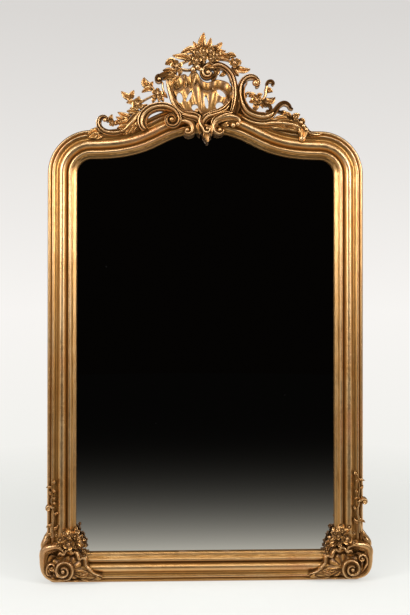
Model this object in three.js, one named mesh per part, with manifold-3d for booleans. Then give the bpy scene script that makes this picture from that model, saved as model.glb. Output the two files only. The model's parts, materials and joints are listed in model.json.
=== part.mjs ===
// Overmantel mirror: a gilded rococo frame with an arched top, a carved and pierced crest,
// carved bottom corners, a mirror plate, a boarded back and two hanging rings.
// Millimetres. +X is to the right, the glass looks along -Y, +Z is up.
// The origin is on the flat underside of the bottom rail, on the centre line.

import * as THREE from 'three';
import { mergeVertices } from 'three/addons/utils/BufferGeometryUtils.js';
import Module from 'manifold-3d';

const wasm = await Module();
wasm.setup();

// ---------------------------------------------------------------- driving dimensions

const GAP = 0.3;                   // clearance between neighbouring pieces

// frame outline
const FRAME_WIDTH = 1080;
const MOULDING_WIDTH = 96;
const SHOULDER_RADIUS = 149;       // outer edge of the rounded top corners
const SPRING_HEIGHT = 1391;        // where the stiles end and the shoulders begin
const ARCH_RISE = 90.6;            // from the shoulders up to the crown, on the sight edge
const ARCH_HOLLOW = 244;           // pull of the flat ends of the arch
const ARCH_CROWN = 167;            // pull of its round crown
const FRAME_BACK = 35;             // y of the flat back
const FOOT_RADIUS = 34;            // rounding of the two bottom corners
const CREST_SEAT_HALF = 74;        // half width of the flat notch that the crest stands in
const CREST_SEAT_DROP = 30;        // the notch's floor below the crown

// moulding section, from the outer edge inwards: width and front of each member
const BEAD_WIDTH = 13;
const BEAD_FRONT = 21;
const ASTRAGAL_WIDTH = 12;
const ASTRAGAL_FRONT = 25;
const HOLLOW_WIDTH = 9;
const HOLLOW_FRONT = 22;
const TORUS_WIDTH = 19;
const TORUS_FRONT = 27;
const LIP_WIDTH = 10;
const LIP_FRONT = 9;
const QUIRK_FRONT = 14;            // bottom of the narrow grooves between the members
const CUSHION_FRONT = 34;
const SIDE_FRONT = 13;             // the outer side ends here, under the bead

// what the rebate holds
const REBATE_WIDTH = 9;
const GLASS_THICK = 4;
const GLASS_FRONT = 4.3;           // y of the plate's front face
const GLASS_PLAY = 2;              // space around the plate's edge
const BOARD_COUNT = 5;
const BOARD_THICK = 10;
const BOARD_JOINT = 0.5;
const BOARD_SETBACK = 3;           // boards lie this far inside the frame's back
const BLOCK_LENGTH = 80;
const BLOCK_WIDTH = 13;
const BLOCK_PLACE = 260;           // from the centre line, and from the spring line

// hanging rings on the back of the stiles
const HANGER_DROP = 211;           // the ring's hinge line below the spring line
const PLATE_HEIGHT = 62;
const PLATE_WIDTH = 34;
const PLATE_THICK = 2.5;
const PLATE_SCREW_PITCH = 30;
const PLATE_SCREW_EDGE = 12;
const RING_ROD = 5;
const RING_WIDTH = 52;
const RING_DROP = 40;
const KNUCKLE_WIDTH = 20;
const KNUCKLE_WALL = 2.5;
const KNUCKLE_PLAY = 0.35;
const RING_NOTCH_UP = 5;           // cut out of the plate beside the knuckle, above the hinge line
const RING_NOTCH_DOWN = 10;        // and below it

// screws
const SCREW_SHANK = 4;
const SCREW_HEAD = 8.5;
const SCREW_HEAD_THICK = 2.6;
const PLATE_SCREW_LENGTH = 18;
const BATTEN_SCREW_BITE = 14;      // depth of the screw's hole in the crest
const SCREW_END_PLAY = 2;          // left free at the bottom of a blind hole

// wooden batten behind the crest
const BATTEN_WIDTH = 22;
const BATTEN_HEIGHT = 68;
const BATTEN_OFFSET = 19;          // from the centre line
const BATTEN_SCREW_EDGE = 17;

// carving: back plane and relief of each layer
const CREST_BACK = -6;
const SHELL_RELIEF = 32;
const SPRAY_BACK = -12;
const SPRAY_RELIEF = 27;
const SCROLL_BACK = -8;
const SCROLL_RELIEF = 40;
const VOLUTE_BACK = -12;
const VOLUTE_RELIEF = 46;
const CONSOLE_BACK = -14;
const CONSOLE_RELIEF = 50;
const CONSOLE_ARM_RELIEF = 36;
const CONSOLE_TIP_RELIEF = 40;
const CONSOLE_CURL_RELIEF = 30;
const BLOSSOM_BACK = -26;
const BLOSSOM_RELIEF = 38;
const BLOSSOM_STEM_RELIEF = 22;
const RIM_BACK = 2;
const RIM_RELIEF = 52;
const TWIG_RELIEF = 33;
const ACANTHUS_RELIEF = 34;
const OUTER_SCROLL_RELIEF = 36;
const SHOULDER_LEAF_RELIEF = 32;
const FIELD_RELIEF = 26;           // the sunk field inside the left volute

// carving of the bottom corners
const CORNER_LIFT = 9;             // the carving's lowest edge above the foot
const CORNER_SHELL_RELIEF = 38;
const CORNER_LEAF_RELIEF = 32;
const CORNER_VOLUTE_BACK = -30;
const CORNER_VOLUTE_RELIEF = 36;
const CORNER_VOLUTE_RADIUS = 34;
const CORNER_EYE_RELIEF = 41;
const CORNER_EYE_RADIUS = 12;
const CORNER_FLOWER_BACK = -28;
const CORNER_FLOWER_RELIEF = 34;
const CORNER_MASS_RELIEF = 16;

// derived sizes
const HALF_WIDTH = FRAME_WIDTH / 2;
const ARCH_HALF = HALF_WIDTH - SHOULDER_RADIUS;
const HANGER_HEIGHT = SPRING_HEIGHT - HANGER_DROP;
const SHOULDER_SIGHT = SPRING_HEIGHT + SHOULDER_RADIUS - MOULDING_WIDTH;
const CROWN_SIGHT = SHOULDER_SIGHT + ARCH_RISE;
const CUSHION_WIDTH =
  MOULDING_WIDTH - BEAD_WIDTH - ASTRAGAL_WIDTH - HOLLOW_WIDTH - TORUS_WIDTH - LIP_WIDTH;

// ---------------------------------------------------------------- finishes

const gilding = new THREE.MeshStandardMaterial({ color: 0xc79a55, roughness: 0.38, metalness: 0.85 });
const carvedGilding = new THREE.MeshStandardMaterial({ color: 0xb4854a, roughness: 0.45, metalness: 0.8 });
const silvered = new THREE.MeshStandardMaterial({ color: 0xd8dadb, roughness: 0.03, metalness: 1 });
const pine = new THREE.MeshStandardMaterial({ color: 0x8a6236, roughness: 0.75, metalness: 0 });
const iron = new THREE.MeshStandardMaterial({ color: 0x4b4744, roughness: 0.55, metalness: 0.9 });

// ---------------------------------------------------------------- solids

const ROUND_SIDES = 12;

/** Turns a closed three.js geometry into a solid. */
function solidOf(geometry) {
  const bare = geometry.clone();
  bare.deleteAttribute('normal');
  bare.deleteAttribute('uv');
  const merged = mergeVertices(bare, 1e-4);
  const vertProperties = new Float32Array(merged.attributes.position.array);
  const triVerts = new Uint32Array(merged.index.array);
  return new wasm.Manifold(new wasm.Mesh({ numProp: 3, vertProperties, triVerts }));
}

/** Turns a solid back into a geometry. */
function geometryOf(solid) {
  const mesh = solid.getMesh();
  const geometry = new THREE.BufferGeometry();
  geometry.setAttribute('position', new THREE.BufferAttribute(mesh.vertProperties, 3));
  geometry.setIndex(new THREE.BufferAttribute(mesh.triVerts, 1));
  geometry.computeVertexNormals();
  return geometry;
}

function joined(solids) {
  return solids.reduce((whole, next) => whole.add(next));
}

/** The largest body of a solid: chips that a neighbour cuts loose fall away. */
function mainBody(solid) {
  const bodies = solid.decompose();
  return bodies.reduce((best, body) => (body.volume() > best.volume() ? body : best));
}

function box(x0, x1, y0, y1, z0, z1) {
  const geometry = new THREE.BoxGeometry(x1 - x0, y1 - y0, z1 - z0);
  geometry.translate((x0 + x1) / 2, (y0 + y1) / 2, (z0 + z1) / 2);
  return solidOf(geometry);
}

/** A round bar along +Y from y0 to y1. */
function barY(x, z, radius, y0, y1, sides = ROUND_SIDES) {
  const geometry = new THREE.CylinderGeometry(radius, radius, y1 - y0, sides);
  geometry.translate(x, (y0 + y1) / 2, z);
  return solidOf(geometry);
}

/** A round bar along +X from x0 to x1. */
function barX(x0, x1, y, z, radius, sides = ROUND_SIDES) {
  const geometry = new THREE.CylinderGeometry(radius, radius, x1 - x0, sides);
  geometry.rotateZ(Math.PI / 2);
  geometry.translate((x0 + x1) / 2, y, z);
  return solidOf(geometry);
}

/** A flat plate: an outline of [x, z] points with holes, from y = front to y = back. */
function slab(outline, front, back, holes = []) {
  const shape = new THREE.Shape(outline.map(([x, z]) => new THREE.Vector2(x, z)));
  shape.holes = holes;
  const geometry = new THREE.ExtrudeGeometry(shape, { depth: back - front, bevelEnabled: false });
  geometry.rotateX(Math.PI / 2);
  geometry.translate(0, back, 0);
  return solidOf(geometry);
}

// ---------------------------------------------------------------- frame outline

const v2 = (x, z) => new THREE.Vector2(x, z);

/** Right half of the arch on the sight edge, from the shoulder to the crown. */
const archSight = new THREE.CubicBezierCurve(
  v2(ARCH_HALF, SHOULDER_SIGHT),
  v2(ARCH_HALF - ARCH_HOLLOW, SHOULDER_SIGHT),
  v2(ARCH_CROWN, CROWN_SIGHT),
  v2(0, CROWN_SIGHT),
);

/** A point of the arch at share t, at distance d from the outer edge. */
function archPoint(t, d) {
  const point = archSight.getPoint(t);
  const run = archSight.getTangent(t);
  const out = MOULDING_WIDTH - d;
  return [point.x + run.y * out, point.y - run.x * out];
}

/** A point of the right shoulder at share t, at distance d from the outer edge. */
function shoulderPoint(t, d) {
  const radius = SHOULDER_RADIUS - d;
  const margin = GAP / 2 / radius;
  const angle = THREE.MathUtils.lerp(margin, Math.PI / 2 - margin, t);
  return [ARCH_HALF + radius * Math.cos(angle), SPRING_HEIGHT + radius * Math.sin(angle)];
}

const ARCH_STEPS = 11;
const SHOULDER_STEPS = 6;
const HALVINGS = 30;               // of the arch, to find the point above a given x

/** Height of the frame's outer edge above the foot, at x. */
function edgeHeight(x) {
  const reach = Math.abs(x);
  if (reach >= ARCH_HALF) {
    const rest = Math.min(reach - ARCH_HALF, SHOULDER_RADIUS);
    return SPRING_HEIGHT + Math.sqrt(SHOULDER_RADIUS ** 2 - rest ** 2);
  }
  let low = 0;
  let high = 1;
  for (let step = 0; step < HALVINGS; step += 1) {
    const middle = (low + high) / 2;
    if (archPoint(middle, 0)[0] > reach) low = middle;
    else high = middle;
  }
  return archPoint(low, 0)[1];
}

/** The closed line at distance d inside the outer edge, as [x, z] points. */
function ring(d) {
  const right = [[HALF_WIDTH - d, d]];
  for (let i = 0; i <= SHOULDER_STEPS; i += 1) right.push(shoulderPoint(i / SHOULDER_STEPS, d));
  for (let i = 1; i < ARCH_STEPS; i += 1) right.push(archPoint(i / ARCH_STEPS, d));
  const crown = archPoint(1, d);
  const left = right.map(([x, z]) => [-x, z]).reverse();
  return [...right, crown, ...left];
}

// ---------------------------------------------------------------- moulding

const DOME_STEPS = 3;
const DOME_FULLNESS = 0.7;         // below 1 the member swells early and is flatter on top
const ASTRAGAL_PEAK = 0.6;         // share of the astragal's width at its highest line
const MITRE_LIMIT = 0.5;           // keeps a sharp corner of a grown section from running away

/** Front points of one rounded member, between two quirks, as [d, y]. */
function dome(from, width, front, base) {
  const points = [];
  for (let i = 0; i <= DOME_STEPS; i += 1) {
    const share = i / DOME_STEPS;
    const swell = Math.sin(Math.PI * share) ** DOME_FULLNESS;
    points.push([from + width * share, -(base + (front - base) * swell)]);
  }
  return points;
}

/** The moulding's section as [d, y]: d runs inwards from the outer edge. */
function mouldingSection() {
  const astragalStart = BEAD_WIDTH;
  const hollowStart = astragalStart + ASTRAGAL_WIDTH;
  const cushionStart = hollowStart + HOLLOW_WIDTH;
  const torusStart = cushionStart + CUSHION_WIDTH;
  const lipStart = torusStart + TORUS_WIDTH;
  return [
    [0, FRAME_BACK],
    ...dome(0, BEAD_WIDTH, BEAD_FRONT, SIDE_FRONT),
    [astragalStart + ASTRAGAL_WIDTH * ASTRAGAL_PEAK, -ASTRAGAL_FRONT],
    [hollowStart + HOLLOW_WIDTH / 2, -HOLLOW_FRONT],
    ...dome(cushionStart, CUSHION_WIDTH, CUSHION_FRONT, HOLLOW_FRONT),
    ...dome(torusStart, TORUS_WIDTH, TORUS_FRONT, QUIRK_FRONT).slice(1),
    [lipStart + LIP_WIDTH, -LIP_FRONT],
    [MOULDING_WIDTH, GLASS_FRONT - GAP],
    [MOULDING_WIDTH - REBATE_WIDTH, GLASS_FRONT - GAP],
    [MOULDING_WIDTH - REBATE_WIDTH, FRAME_BACK],
  ];
}

/** The section moved outwards by a margin, each corner along its two edges' normals. */
function grown(section, margin) {
  return section.map(([d, y], i) => {
    const [d0, y0] = section[(i + section.length - 1) % section.length];
    const [d1, y1] = section[(i + 1) % section.length];
    const before = v2(y - y0, d0 - d).normalize();
    const after = v2(y1 - y, d - d1).normalize();
    const lean = before.clone().add(after).normalize();
    const reach = margin / Math.max(lean.dot(before), MITRE_LIMIT);
    return [d + lean.x * reach, y + lean.y * reach];
  });
}

/** Sweeps a section: place(t, d) gives [x, z] for share t at distance d. */
function swept(section, steps, place) {
  const shape = new THREE.Shape(section.map(([d, y]) => v2(d, y)));
  const geometry = new THREE.ExtrudeGeometry(shape, { depth: 1, steps, bevelEnabled: false });
  const position = geometry.attributes.position;
  for (let i = 0; i < position.count; i += 1) {
    const d = position.getX(i);
    const y = position.getY(i);
    const [x, z] = place(position.getZ(i), d);
    position.setXYZ(i, x, y, z);
  }
  const merged = mergeVertices(geometry.deleteAttribute('normal').deleteAttribute('uv'), 1e-4);
  return solidOf(turnedOut(merged));
}

/** Reverses the faces of a closed mesh whose volume comes out negative. */
function turnedOut(geometry) {
  const index = geometry.index.array;
  const position = geometry.attributes.position;
  const a = new THREE.Vector3();
  const b = new THREE.Vector3();
  const c = new THREE.Vector3();
  let volume = 0;
  for (let i = 0; i < index.length; i += 3) {
    a.fromBufferAttribute(position, index[i]);
    b.fromBufferAttribute(position, index[i + 1]);
    c.fromBufferAttribute(position, index[i + 2]);
    volume += a.dot(b.cross(c));
  }
  if (volume < 0) {
    for (let i = 0; i < index.length; i += 3) [index[i], index[i + 1]] = [index[i + 1], index[i]];
  }
  return geometry;
}

const { lerp } = THREE.MathUtils;

/** Where the seven lengths of moulding run; side is -1 on the left and 1 on the right. */
function mouldingRuns(joint) {
  const half = joint / 2;
  const runs = [{
    name: 'bottom_rail',
    steps: 1,
    place: (t, d) => [lerp(-1, 1, t) * (HALF_WIDTH - d - half * Math.SQRT2), d],
  }];
  for (const [label, side] of [['left', -1], ['right', 1]]) {
    runs.push({
      name: `stile_${label}`,
      steps: 1,
      place: (t, d) => [side * (HALF_WIDTH - d), lerp(d + half * Math.SQRT2, SPRING_HEIGHT - half, t)],
    });
    runs.push({
      name: `shoulder_${label}`,
      steps: SHOULDER_STEPS,
      place: (t, d) => {
        const [x, z] = shoulderPoint(t, d);
        return [side * x, z];
      },
    });
    runs.push({
      name: `arch_${label}`,
      steps: ARCH_STEPS,
      place: (t, d) => {
        const [x, z] = archPoint(t, d);
        return [side * THREE.MathUtils.clamp(x, half, ARCH_HALF - half), z];
      },
    });
  }
  return runs;
}

const section = mouldingSection();
const SPACE_MARGIN = GAP + 0.05;   // clearance all round the moulding, with a hair to spare

/** What is cut off the bottom corners and out of the crown; a margin keeps more moulding. */
function outlineCuts(margin) {
  const radius = FOOT_RADIUS;
  const front = -CUSHION_FRONT * 2;
  const back = FRAME_BACK * 2;
  const floor = edgeHeight(0) - CREST_SEAT_DROP + margin;
  const half = CREST_SEAT_HALF - margin;
  const notch = box(-half, half, front, back, floor, floor + SHOULDER_RADIUS);
  const corners = [-1, 1].map((side) => {
    const x = side * (HALF_WIDTH - radius);
    const outer = side * HALF_WIDTH * 2;
    const block = box(Math.min(x, outer), Math.max(x, outer), front, back, -radius, radius);
    return block.subtract(barY(x, radius, radius + margin, front - 1, back + 1, ROUND_SIDES * 2));
  });
  return joined([notch, ...corners]);
}

const trimmed = outlineCuts(0);
const mouldings = mouldingRuns(GAP).map(({ name, steps, place }) => {
  const whole = swept(section, steps, place);
  return { name, solid: name.startsWith('shoulder') ? whole : whole.subtract(trimmed) };
});

/** The whole moulding with its clearance, which cuts the carving that sits on it. */
const mouldingSpace = joined(
  mouldingRuns(-GAP).map((run) => swept(grown(section, SPACE_MARGIN), run.steps, run.place)),
).subtract(outlineCuts(SPACE_MARGIN));

// ---------------------------------------------------------------- carving tools

const SHADOW_DEPTH = 400;          // a shadow reaches past everything in front
const DOMED_SIDES = 5;
const RIDGED_SIDES = 3;
const THIN_END = 0.8;              // half width of a pointed end
const THIN_RELIEF = 0.6;           // share of the relief that is left where a bar is thinnest
const STEPS_PER_POINT = 1.2;       // rings of a bar for each point of its line
const FIELD_STEPS_PER_POINT = 1.5;
const LEAF_STEPS = 4;
const LEAF_STALK = 0.45;           // share of a leaf's width at its stalk
const LEAF_NECK = 0.7;             // and where it starts to taper

/** Value at share t of a list of evenly spaced values. */
function blend(values, t) {
  const place = t * (values.length - 1);
  const i = Math.min(Math.floor(place), values.length - 2);
  return lerp(values[i], values[i + 1], place - i);
}

/** A domed or ridged bar with a flat back, bent along a smooth line of [x, z] points. */
function carvedBar({ line, widths, back, relief, steps, sides = DOMED_SIDES, shadow = false }) {
  const curve = new THREE.SplineCurve(line.map(([x, z]) => v2(x, z)));
  const geometry = new THREE.CylinderGeometry(1, 1, 1, sides, steps);
  const position = geometry.attributes.position;
  const backShare = Math.cos(Math.PI * (1 - 1 / sides));
  const sideShare = Math.sin(Math.PI * (1 - 1 / sides));
  const extra = shadow ? GAP : 0;
  for (let i = 0; i < position.count; i += 1) {
    const t = position.getY(i) + 0.5;
    const point = curve.getPointAt(t);
    const run = curve.getTangentAt(t);
    const width = blend(widths, t) + extra;
    const fullness = blend(widths, t) / Math.max(...widths);
    const rise = shadow ? SHADOW_DEPTH : relief * lerp(THIN_RELIEF, 1, fullness);
    const across = THREE.MathUtils.clamp(position.getX(i) / sideShare, -1, 1) * width;
    const forward = ((position.getZ(i) - backShare) / (1 - backShare)) * rise;
    const along = shadow ? (t - 0.5) * 2 * GAP : 0;
    position.setXYZ(
      i,
      point.x - run.y * across + run.x * along,
      back + extra - forward,
      point.y + run.x * across + run.y * along,
    );
  }
  const merged = mergeVertices(geometry.deleteAttribute('normal').deleteAttribute('uv'), 1e-4);
  return solidOf(turnedOut(merged));
}

const BOSS_SIDES = 10;
const OVAL_SIDES = 8;
const BOSS_SHOULDER = 0.6;         // share of the relief that the boss's side takes
const PETALS = 5;
const PETAL_DEPTH = 0.12;          // how far the outline dips between two petals

/** A round, domed boss, with lobes where it stands for a flower. */
function carvedBoss({ at, radius, back, relief, lobes = 0, shadow = false }) {
  const outer = radius + (shadow ? GAP : 0);
  const rise = shadow ? SHADOW_DEPTH : relief;
  const outline = [v2(0, 0), v2(outer, 0), v2(outer, rise * BOSS_SHOULDER), v2(0, rise)];
  const sides = lobes > 0 ? lobes * 2 : BOSS_SIDES;
  const geometry = new THREE.LatheGeometry(outline, sides);
  const position = geometry.attributes.position;
  const dip = shadow || lobes === 0 ? 0 : PETAL_DEPTH;
  const seat = back + (shadow ? GAP : 0);
  for (let i = 0; i < position.count; i += 1) {
    const x = position.getX(i);
    const z = position.getZ(i);
    const petal = 1 - dip * (1 - Math.cos(lobes * Math.atan2(x, z)));
    position.setXYZ(i, at[0] + x * petal, seat - position.getY(i), at[1] + z * petal);
  }
  const merged = mergeVertices(geometry.deleteAttribute('normal').deleteAttribute('uv'), 1e-4);
  return solidOf(turnedOut(merged));
}

/** A flat carved field with optional oval holes. */
function carvedField({ outline, holes = [], back, relief, shadow = false }) {
  const rise = shadow ? SHADOW_DEPTH : relief;
  const seat = back + (shadow ? GAP : 0);
  return slab(outline, seat - rise, seat, shadow ? [] : holes);
}

/** One carved piece, drawn from its seat; points are millimetres right of and above the seat. */
class Carving {
  constructor(name, { seat, back, relief, side = 1 }) {
    this.name = name;
    this.seat = seat;
    this.back = back;
    this.relief = relief;
    this.side = side;
    this.tools = [];
  }

  place([x, z]) {
    return [this.seat[0] + this.side * x, this.seat[1] + z];
  }

  add(tool, settings) {
    this.tools.push([tool, { back: this.back, relief: this.relief, ...settings }]);
    return this;
  }

  scroll(line, widths, settings = {}) {
    const placed = line.map((point) => this.place(point));
    const steps = Math.max(3, Math.round(line.length * STEPS_PER_POINT));
    return this.add(carvedBar, { line: placed, widths, steps, ...settings });
  }

  leaf(line, width, settings = {}) {
    const placed = line.map((point) => this.place(point));
    const widths = [width * LEAF_STALK, width, width, width * LEAF_NECK, THIN_END];
    const shape = { line: placed, widths, steps: LEAF_STEPS, sides: RIDGED_SIDES };
    return this.add(carvedBar, { ...shape, ...settings });
  }

  boss(at, radius, settings = {}) {
    return this.add(carvedBoss, { at: this.place(at), radius, ...settings });
  }

  flower(at, radius, settings = {}) {
    return this.boss(at, radius, { lobes: PETALS, ...settings });
  }

  field(outline, ovals = [], settings = {}) {
    const holes = ovals.map(([at, rx, rz, tilt]) => {
      const [x, z] = this.place(at);
      const lean = this.side * THREE.MathUtils.degToRad(tilt);
      const path = new THREE.Path();
      path.absellipse(x, z, rx, rz, 0, Math.PI * 2, false, lean);
      return new THREE.Path(path.getSpacedPoints(OVAL_SIDES).slice(0, OVAL_SIDES));
    });
    const line = new THREE.SplineCurve([...outline, outline[0]].map((p) => v2(...this.place(p))));
    const steps = Math.round(outline.length * FIELD_STEPS_PER_POINT);
    const points = line.getPoints(steps).slice(0, -1);
    return this.add(carvedField, { outline: points.map((p) => [p.x, p.y]), holes, ...settings });
  }

  solid() {
    return joined(this.tools.map(([tool, settings]) => tool(settings)));
  }

  /** The space from the piece's back plane forwards, with its clearance. */
  shadow() {
    return joined(this.tools.map(([tool, settings]) => tool({ ...settings, shadow: true })));
  }
}

// ---------------------------------------------------------------- crest

const crown = [0, edgeHeight(0)];

/** A carving whose points are counted from the frame's outer edge at x; x is 0 at the crown. */
function crestCarving(name, x, back, relief) {
  return new Carving(name, { seat: [x, edgeHeight(x)], back, relief });
}

// the pierced openings of the shell: centre, half width, half height and tilt in degrees
const shellOvals = [
  [[-92, 27], 10, 21, 8],
  [[-62, 34], 6, 23, -14],
  [[-44, -10], 12, 12, 0],
  [[-4, 6], 6, 22, 0],
  [[44, -3], 14, 16, 0],
  [[47, 43], 9, 22, 48],
];

const crestShell = crestCarving('crest_shell', 0, CREST_BACK, SHELL_RELIEF)
  .field(
    [
      [-25, -42], [-75, -32], [-104, -14], [-119, 16], [-132, 62], [-125, 86], [-98, 94], [-70, 98],
      [-45, 110], [-24, 98], [-20, 74], [-4, 66], [14, 70], [30, 80], [58, 76], [82, 62], [92, 30],
      [92, -12], [66, -32], [20, -44],
    ],
    shellOvals,
  );

const crestLeavesTop = crestCarving('crest_leaves_top', 0, SPRAY_BACK, SPRAY_RELIEF)
  .scroll([[-22, 116], [-16, 150], [-6, 186]], [10, 14, 12])
  .leaf([[-14, 166], [-50, 182], [-92, 177]], 12)
  .leaf([[-14, 178], [-14, 205], [-8, 243]], 11)
  .leaf([[-18, 176], [-28, 192], [-46, 214]], 7)
  .leaf([[-4, 176], [7, 196], [15, 226]], 8)
  .leaf([[-4, 168], [24, 184], [54, 214]], 13)
  .leaf([[0, 160], [34, 168], [68, 175]], 10);

const crestLeavesLeft = crestCarving('crest_leaves_left', 0, SPRAY_BACK, SPRAY_RELIEF)
  .scroll([[-30, 160], [-52, 154], [-76, 142], [-100, 128], [-104, 98]], [6, 6, 5, 6])
  .leaf([[-52, 154], [-86, 163], [-118, 163]], 12)
  .leaf([[-106, 130], [-122, 140], [-140, 136]], 10)
  .flower([-103, 127], 21);

const crestLeavesRight = crestCarving('crest_leaves_right', 0, SPRAY_BACK, SPRAY_RELIEF)
  .scroll([[14, 156], [44, 156], [74, 154], [92, 142], [96, 120], [112, 104]], [7, 7, 6, 5])
  .leaf([[36, 158], [66, 172], [100, 165]], 13)
  .leaf([[90, 126], [120, 116], [151, 118]], 9)
  .flower([98, 143], 18);

const crestSprayLeft = crestCarving('crest_spray_left', -155, SPRAY_BACK, SPRAY_RELIEF)
  .scroll([[-58, 0], [-76, 20], [-92, 36], [-106, 42]], [7, 7, 5, 4])
  .scroll([[-76, 26], [-46, 46], [-16, 62]], [4, 4, 5])
  .scroll([[2, 12], [-6, 34], [-14, 62], [-38, 82]], [6, 6, 5, 4])
  .leaf([[-98, 40], [-118, 46], [-134, 66]], 7)
  .leaf([[-100, 40], [-98, 56], [-92, 72]], 6)
  .leaf([[-84, 24], [-102, 26], [-118, 32]], 6)
  .leaf([[-32, 76], [-50, 92], [-60, 116]], 8)
  .leaf([[-32, 78], [-36, 92], [-30, 104]], 6)
  .leaf([[-28, 74], [-48, 74], [-67, 64]], 5)
  .leaf([[-6, 68], [12, 66], [24, 50]], 6)
  .leaf([[-12, 70], [2, 82], [4, 100]], 4)
  .flower([-80, 24], 19)
  .flower([-15, 64], 20);

const crestTwigRight = crestCarving('crest_twig_right', 280, SPRAY_BACK, TWIG_RELIEF)
  .scroll([[-52, 60], [-18, 40], [6, 30], [28, 24], [40, 6]], [5, 4, 4, 6])
  .leaf([[20, 26], [30, 38], [42, 44]], 8)
  .leaf([[-22, 42], [-12, 50], [-6, 44]], 4);

const crestSprayRight = crestCarving('crest_spray_right', 200, SPRAY_BACK, SPRAY_RELIEF)
  .scroll(
    [[-70, 76], [-60, 90], [-44, 84], [-28, 66], [-8, 64], [2, 78], [4, 98], [10, 116]],
    [5, 4, 5, 5, 4, 4],
  )
  .leaf([[-34, 60], [-46, 60], [-58, 56]], 7)
  .leaf([[-28, 62], [-32, 44], [-42, 18]], 9)
  .leaf([[4, 112], [16, 122], [30, 120]], 7)
  .leaf([[2, 88], [16, 92], [31, 84]], 6)
  .leaf([[-10, 64], [16, 56], [34, 78]], 6)
  .scroll([[4, 60], [2, 46], [4, 30], [14, 14]], [4, 4, 4])
  .boss([-70, 75], 7)
  .boss([13, 30], 9)
  .flower([-28, 64], 17);

const crestRimLeft = crestCarving('crest_rim_left', 0, SCROLL_BACK, ACANTHUS_RELIEF)
  .scroll(
    [[-146, 84], [-137, 68], [-128, 46], [-120, 18], [-108, -4], [-92, -22], [-70, -32], [-40, -30]],
    [6, 5, 5, 5, 5],
  )
  .scroll([[-150, 92], [-132, 104], [-108, 104]], [6, 5, 6])
  .boss([-157, 87], 12);

const crestAcanthusLeft = crestCarving('crest_acanthus_left', -265, SCROLL_BACK, ACANTHUS_RELIEF)
  .scroll([[44, 50], [14, 44], [-12, 38], [-36, 46]], [8, 7, 5, THIN_END])
  .leaf([[42, 40], [10, 20], [-40, -6]], 14)
  .leaf([[12, 24], [8, 0], [2, -28]], 14)
  .leaf([[34, 30], [32, 8], [30, -8]], 11);

const crestAcanthusRight = crestCarving('crest_acanthus_right', 280, SCROLL_BACK, ACANTHUS_RELIEF)
  .scroll([[-78, 22], [-36, 22], [8, 12], [44, 2]], [5, 11, 13, 10])
  .leaf([[40, 14], [48, -18], [46, -50]], 14);

const outerScroll = crestCarving('crest_scroll_left_outer', -330, SCROLL_BACK, OUTER_SCROLL_RELIEF)
  .scroll(
    [[-12, 36], [-20, 42], [-30, 38], [-37, 24], [-35, 6], [-24, -8], [-4, -12], [20, -8], [42, 0]],
    [6, 7, 7, 8, 8, 9],
  )
  .leaf([[6, -10], [10, 20], [10, 48]], 9)
  .leaf([[10, 16], [20, 26], [30, 36]], 5)
  .boss([-8, 31], 8);

const shoulderLeafLeft = crestCarving('shoulder_leaf_left', -395, SCROLL_BACK, SHOULDER_LEAF_RELIEF)
  .leaf([[26, -8], [6, -14], [-20, -28]], 11)
  .leaf([[12, -12], [-2, -22], [-8, -34]], 8);

const shoulderLeafRight = crestCarving('shoulder_leaf_right', 365, SCROLL_BACK, SHOULDER_LEAF_RELIEF)
  .scroll([[-38, 20], [-22, 2], [-6, -12], [14, -14], [36, -8]], [6, 6, 7, 6, THIN_END]);

const crestScrollRightLarge = crestCarving('crest_scroll_right_large', 200, SCROLL_BACK, SCROLL_RELIEF)
  .scroll([[-20, 104], [-18, 124], [-34, 142], [-58, 140], [-76, 120], [-86, 92]], [7, 9, 10, 10, 11])
  .scroll(
    [[-84, 98], [-87, 78], [-80, 50], [-60, 26], [-32, 12], [-2, 8], [22, 20]],
    [11, 11, 12, 12, 10],
  )
  .scroll([[14, 14], [34, 36], [55, 50], [72, 46], [82, 31], [99, 30]], [10, 7, 6, 5, 3])
  .boss([-36, 116], 14);

const crestScrollTop = crestCarving('crest_scroll_top', 0, VOLUTE_BACK, SCROLL_RELIEF)
  .scroll([[-8, 110], [-4, 126], [12, 134], [34, 136], [60, 132], [82, 116], [93, 90]], [8, 9, 9, 8, 8])
  .scroll([[91, 98], [97, 62], [98, 28], [94, 0], [84, -26]], [8, 8, 8, 8])
  .boss([5, 103], 19, { relief: VOLUTE_RELIEF });

const crestVoluteLeft = crestCarving('crest_volute_left', -155, VOLUTE_BACK, SCROLL_RELIEF)
  .scroll([[-40, -64], [-64, -50], [-71, -26], [-57, -2], [-28, 12], [6, 15]], [8, 9, 9, 9])
  .scroll([[0, 16], [36, 8], [56, -10], [62, -32], [50, -52]], [9, 9, 9, 9])
  .field(
    [[-60, -52], [-36, -66], [0, -64], [34, -58], [30, -18], [4, -14], [-26, -20], [-54, -34]],
    [],
    { relief: FIELD_RELIEF },
  )
  .boss([40, -30], 27, { relief: VOLUTE_RELIEF });

const crestScrollLeftSmall = crestCarving('crest_scroll_left_small', 0, VOLUTE_BACK, SCROLL_RELIEF)
  .scroll([[-92, -54], [-66, -51], [-48, -64], [-44, -84], [-52, -100]], [5, 7, 7, 7])
  .boss([-64, -95], 12);

const crestScrollRightSmall = crestCarving('crest_scroll_right_small', 0, VOLUTE_BACK, SCROLL_RELIEF)
  .scroll(
    [[36, -104], [24, -92], [24, -72], [38, -54], [62, -47], [88, -50], [104, -62]],
    [7, 8, 8, 8, 7],
  )
  .boss([42, -96], 10)
  .boss([104, -70], 9)
  .boss([90, -72], 9);

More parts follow.
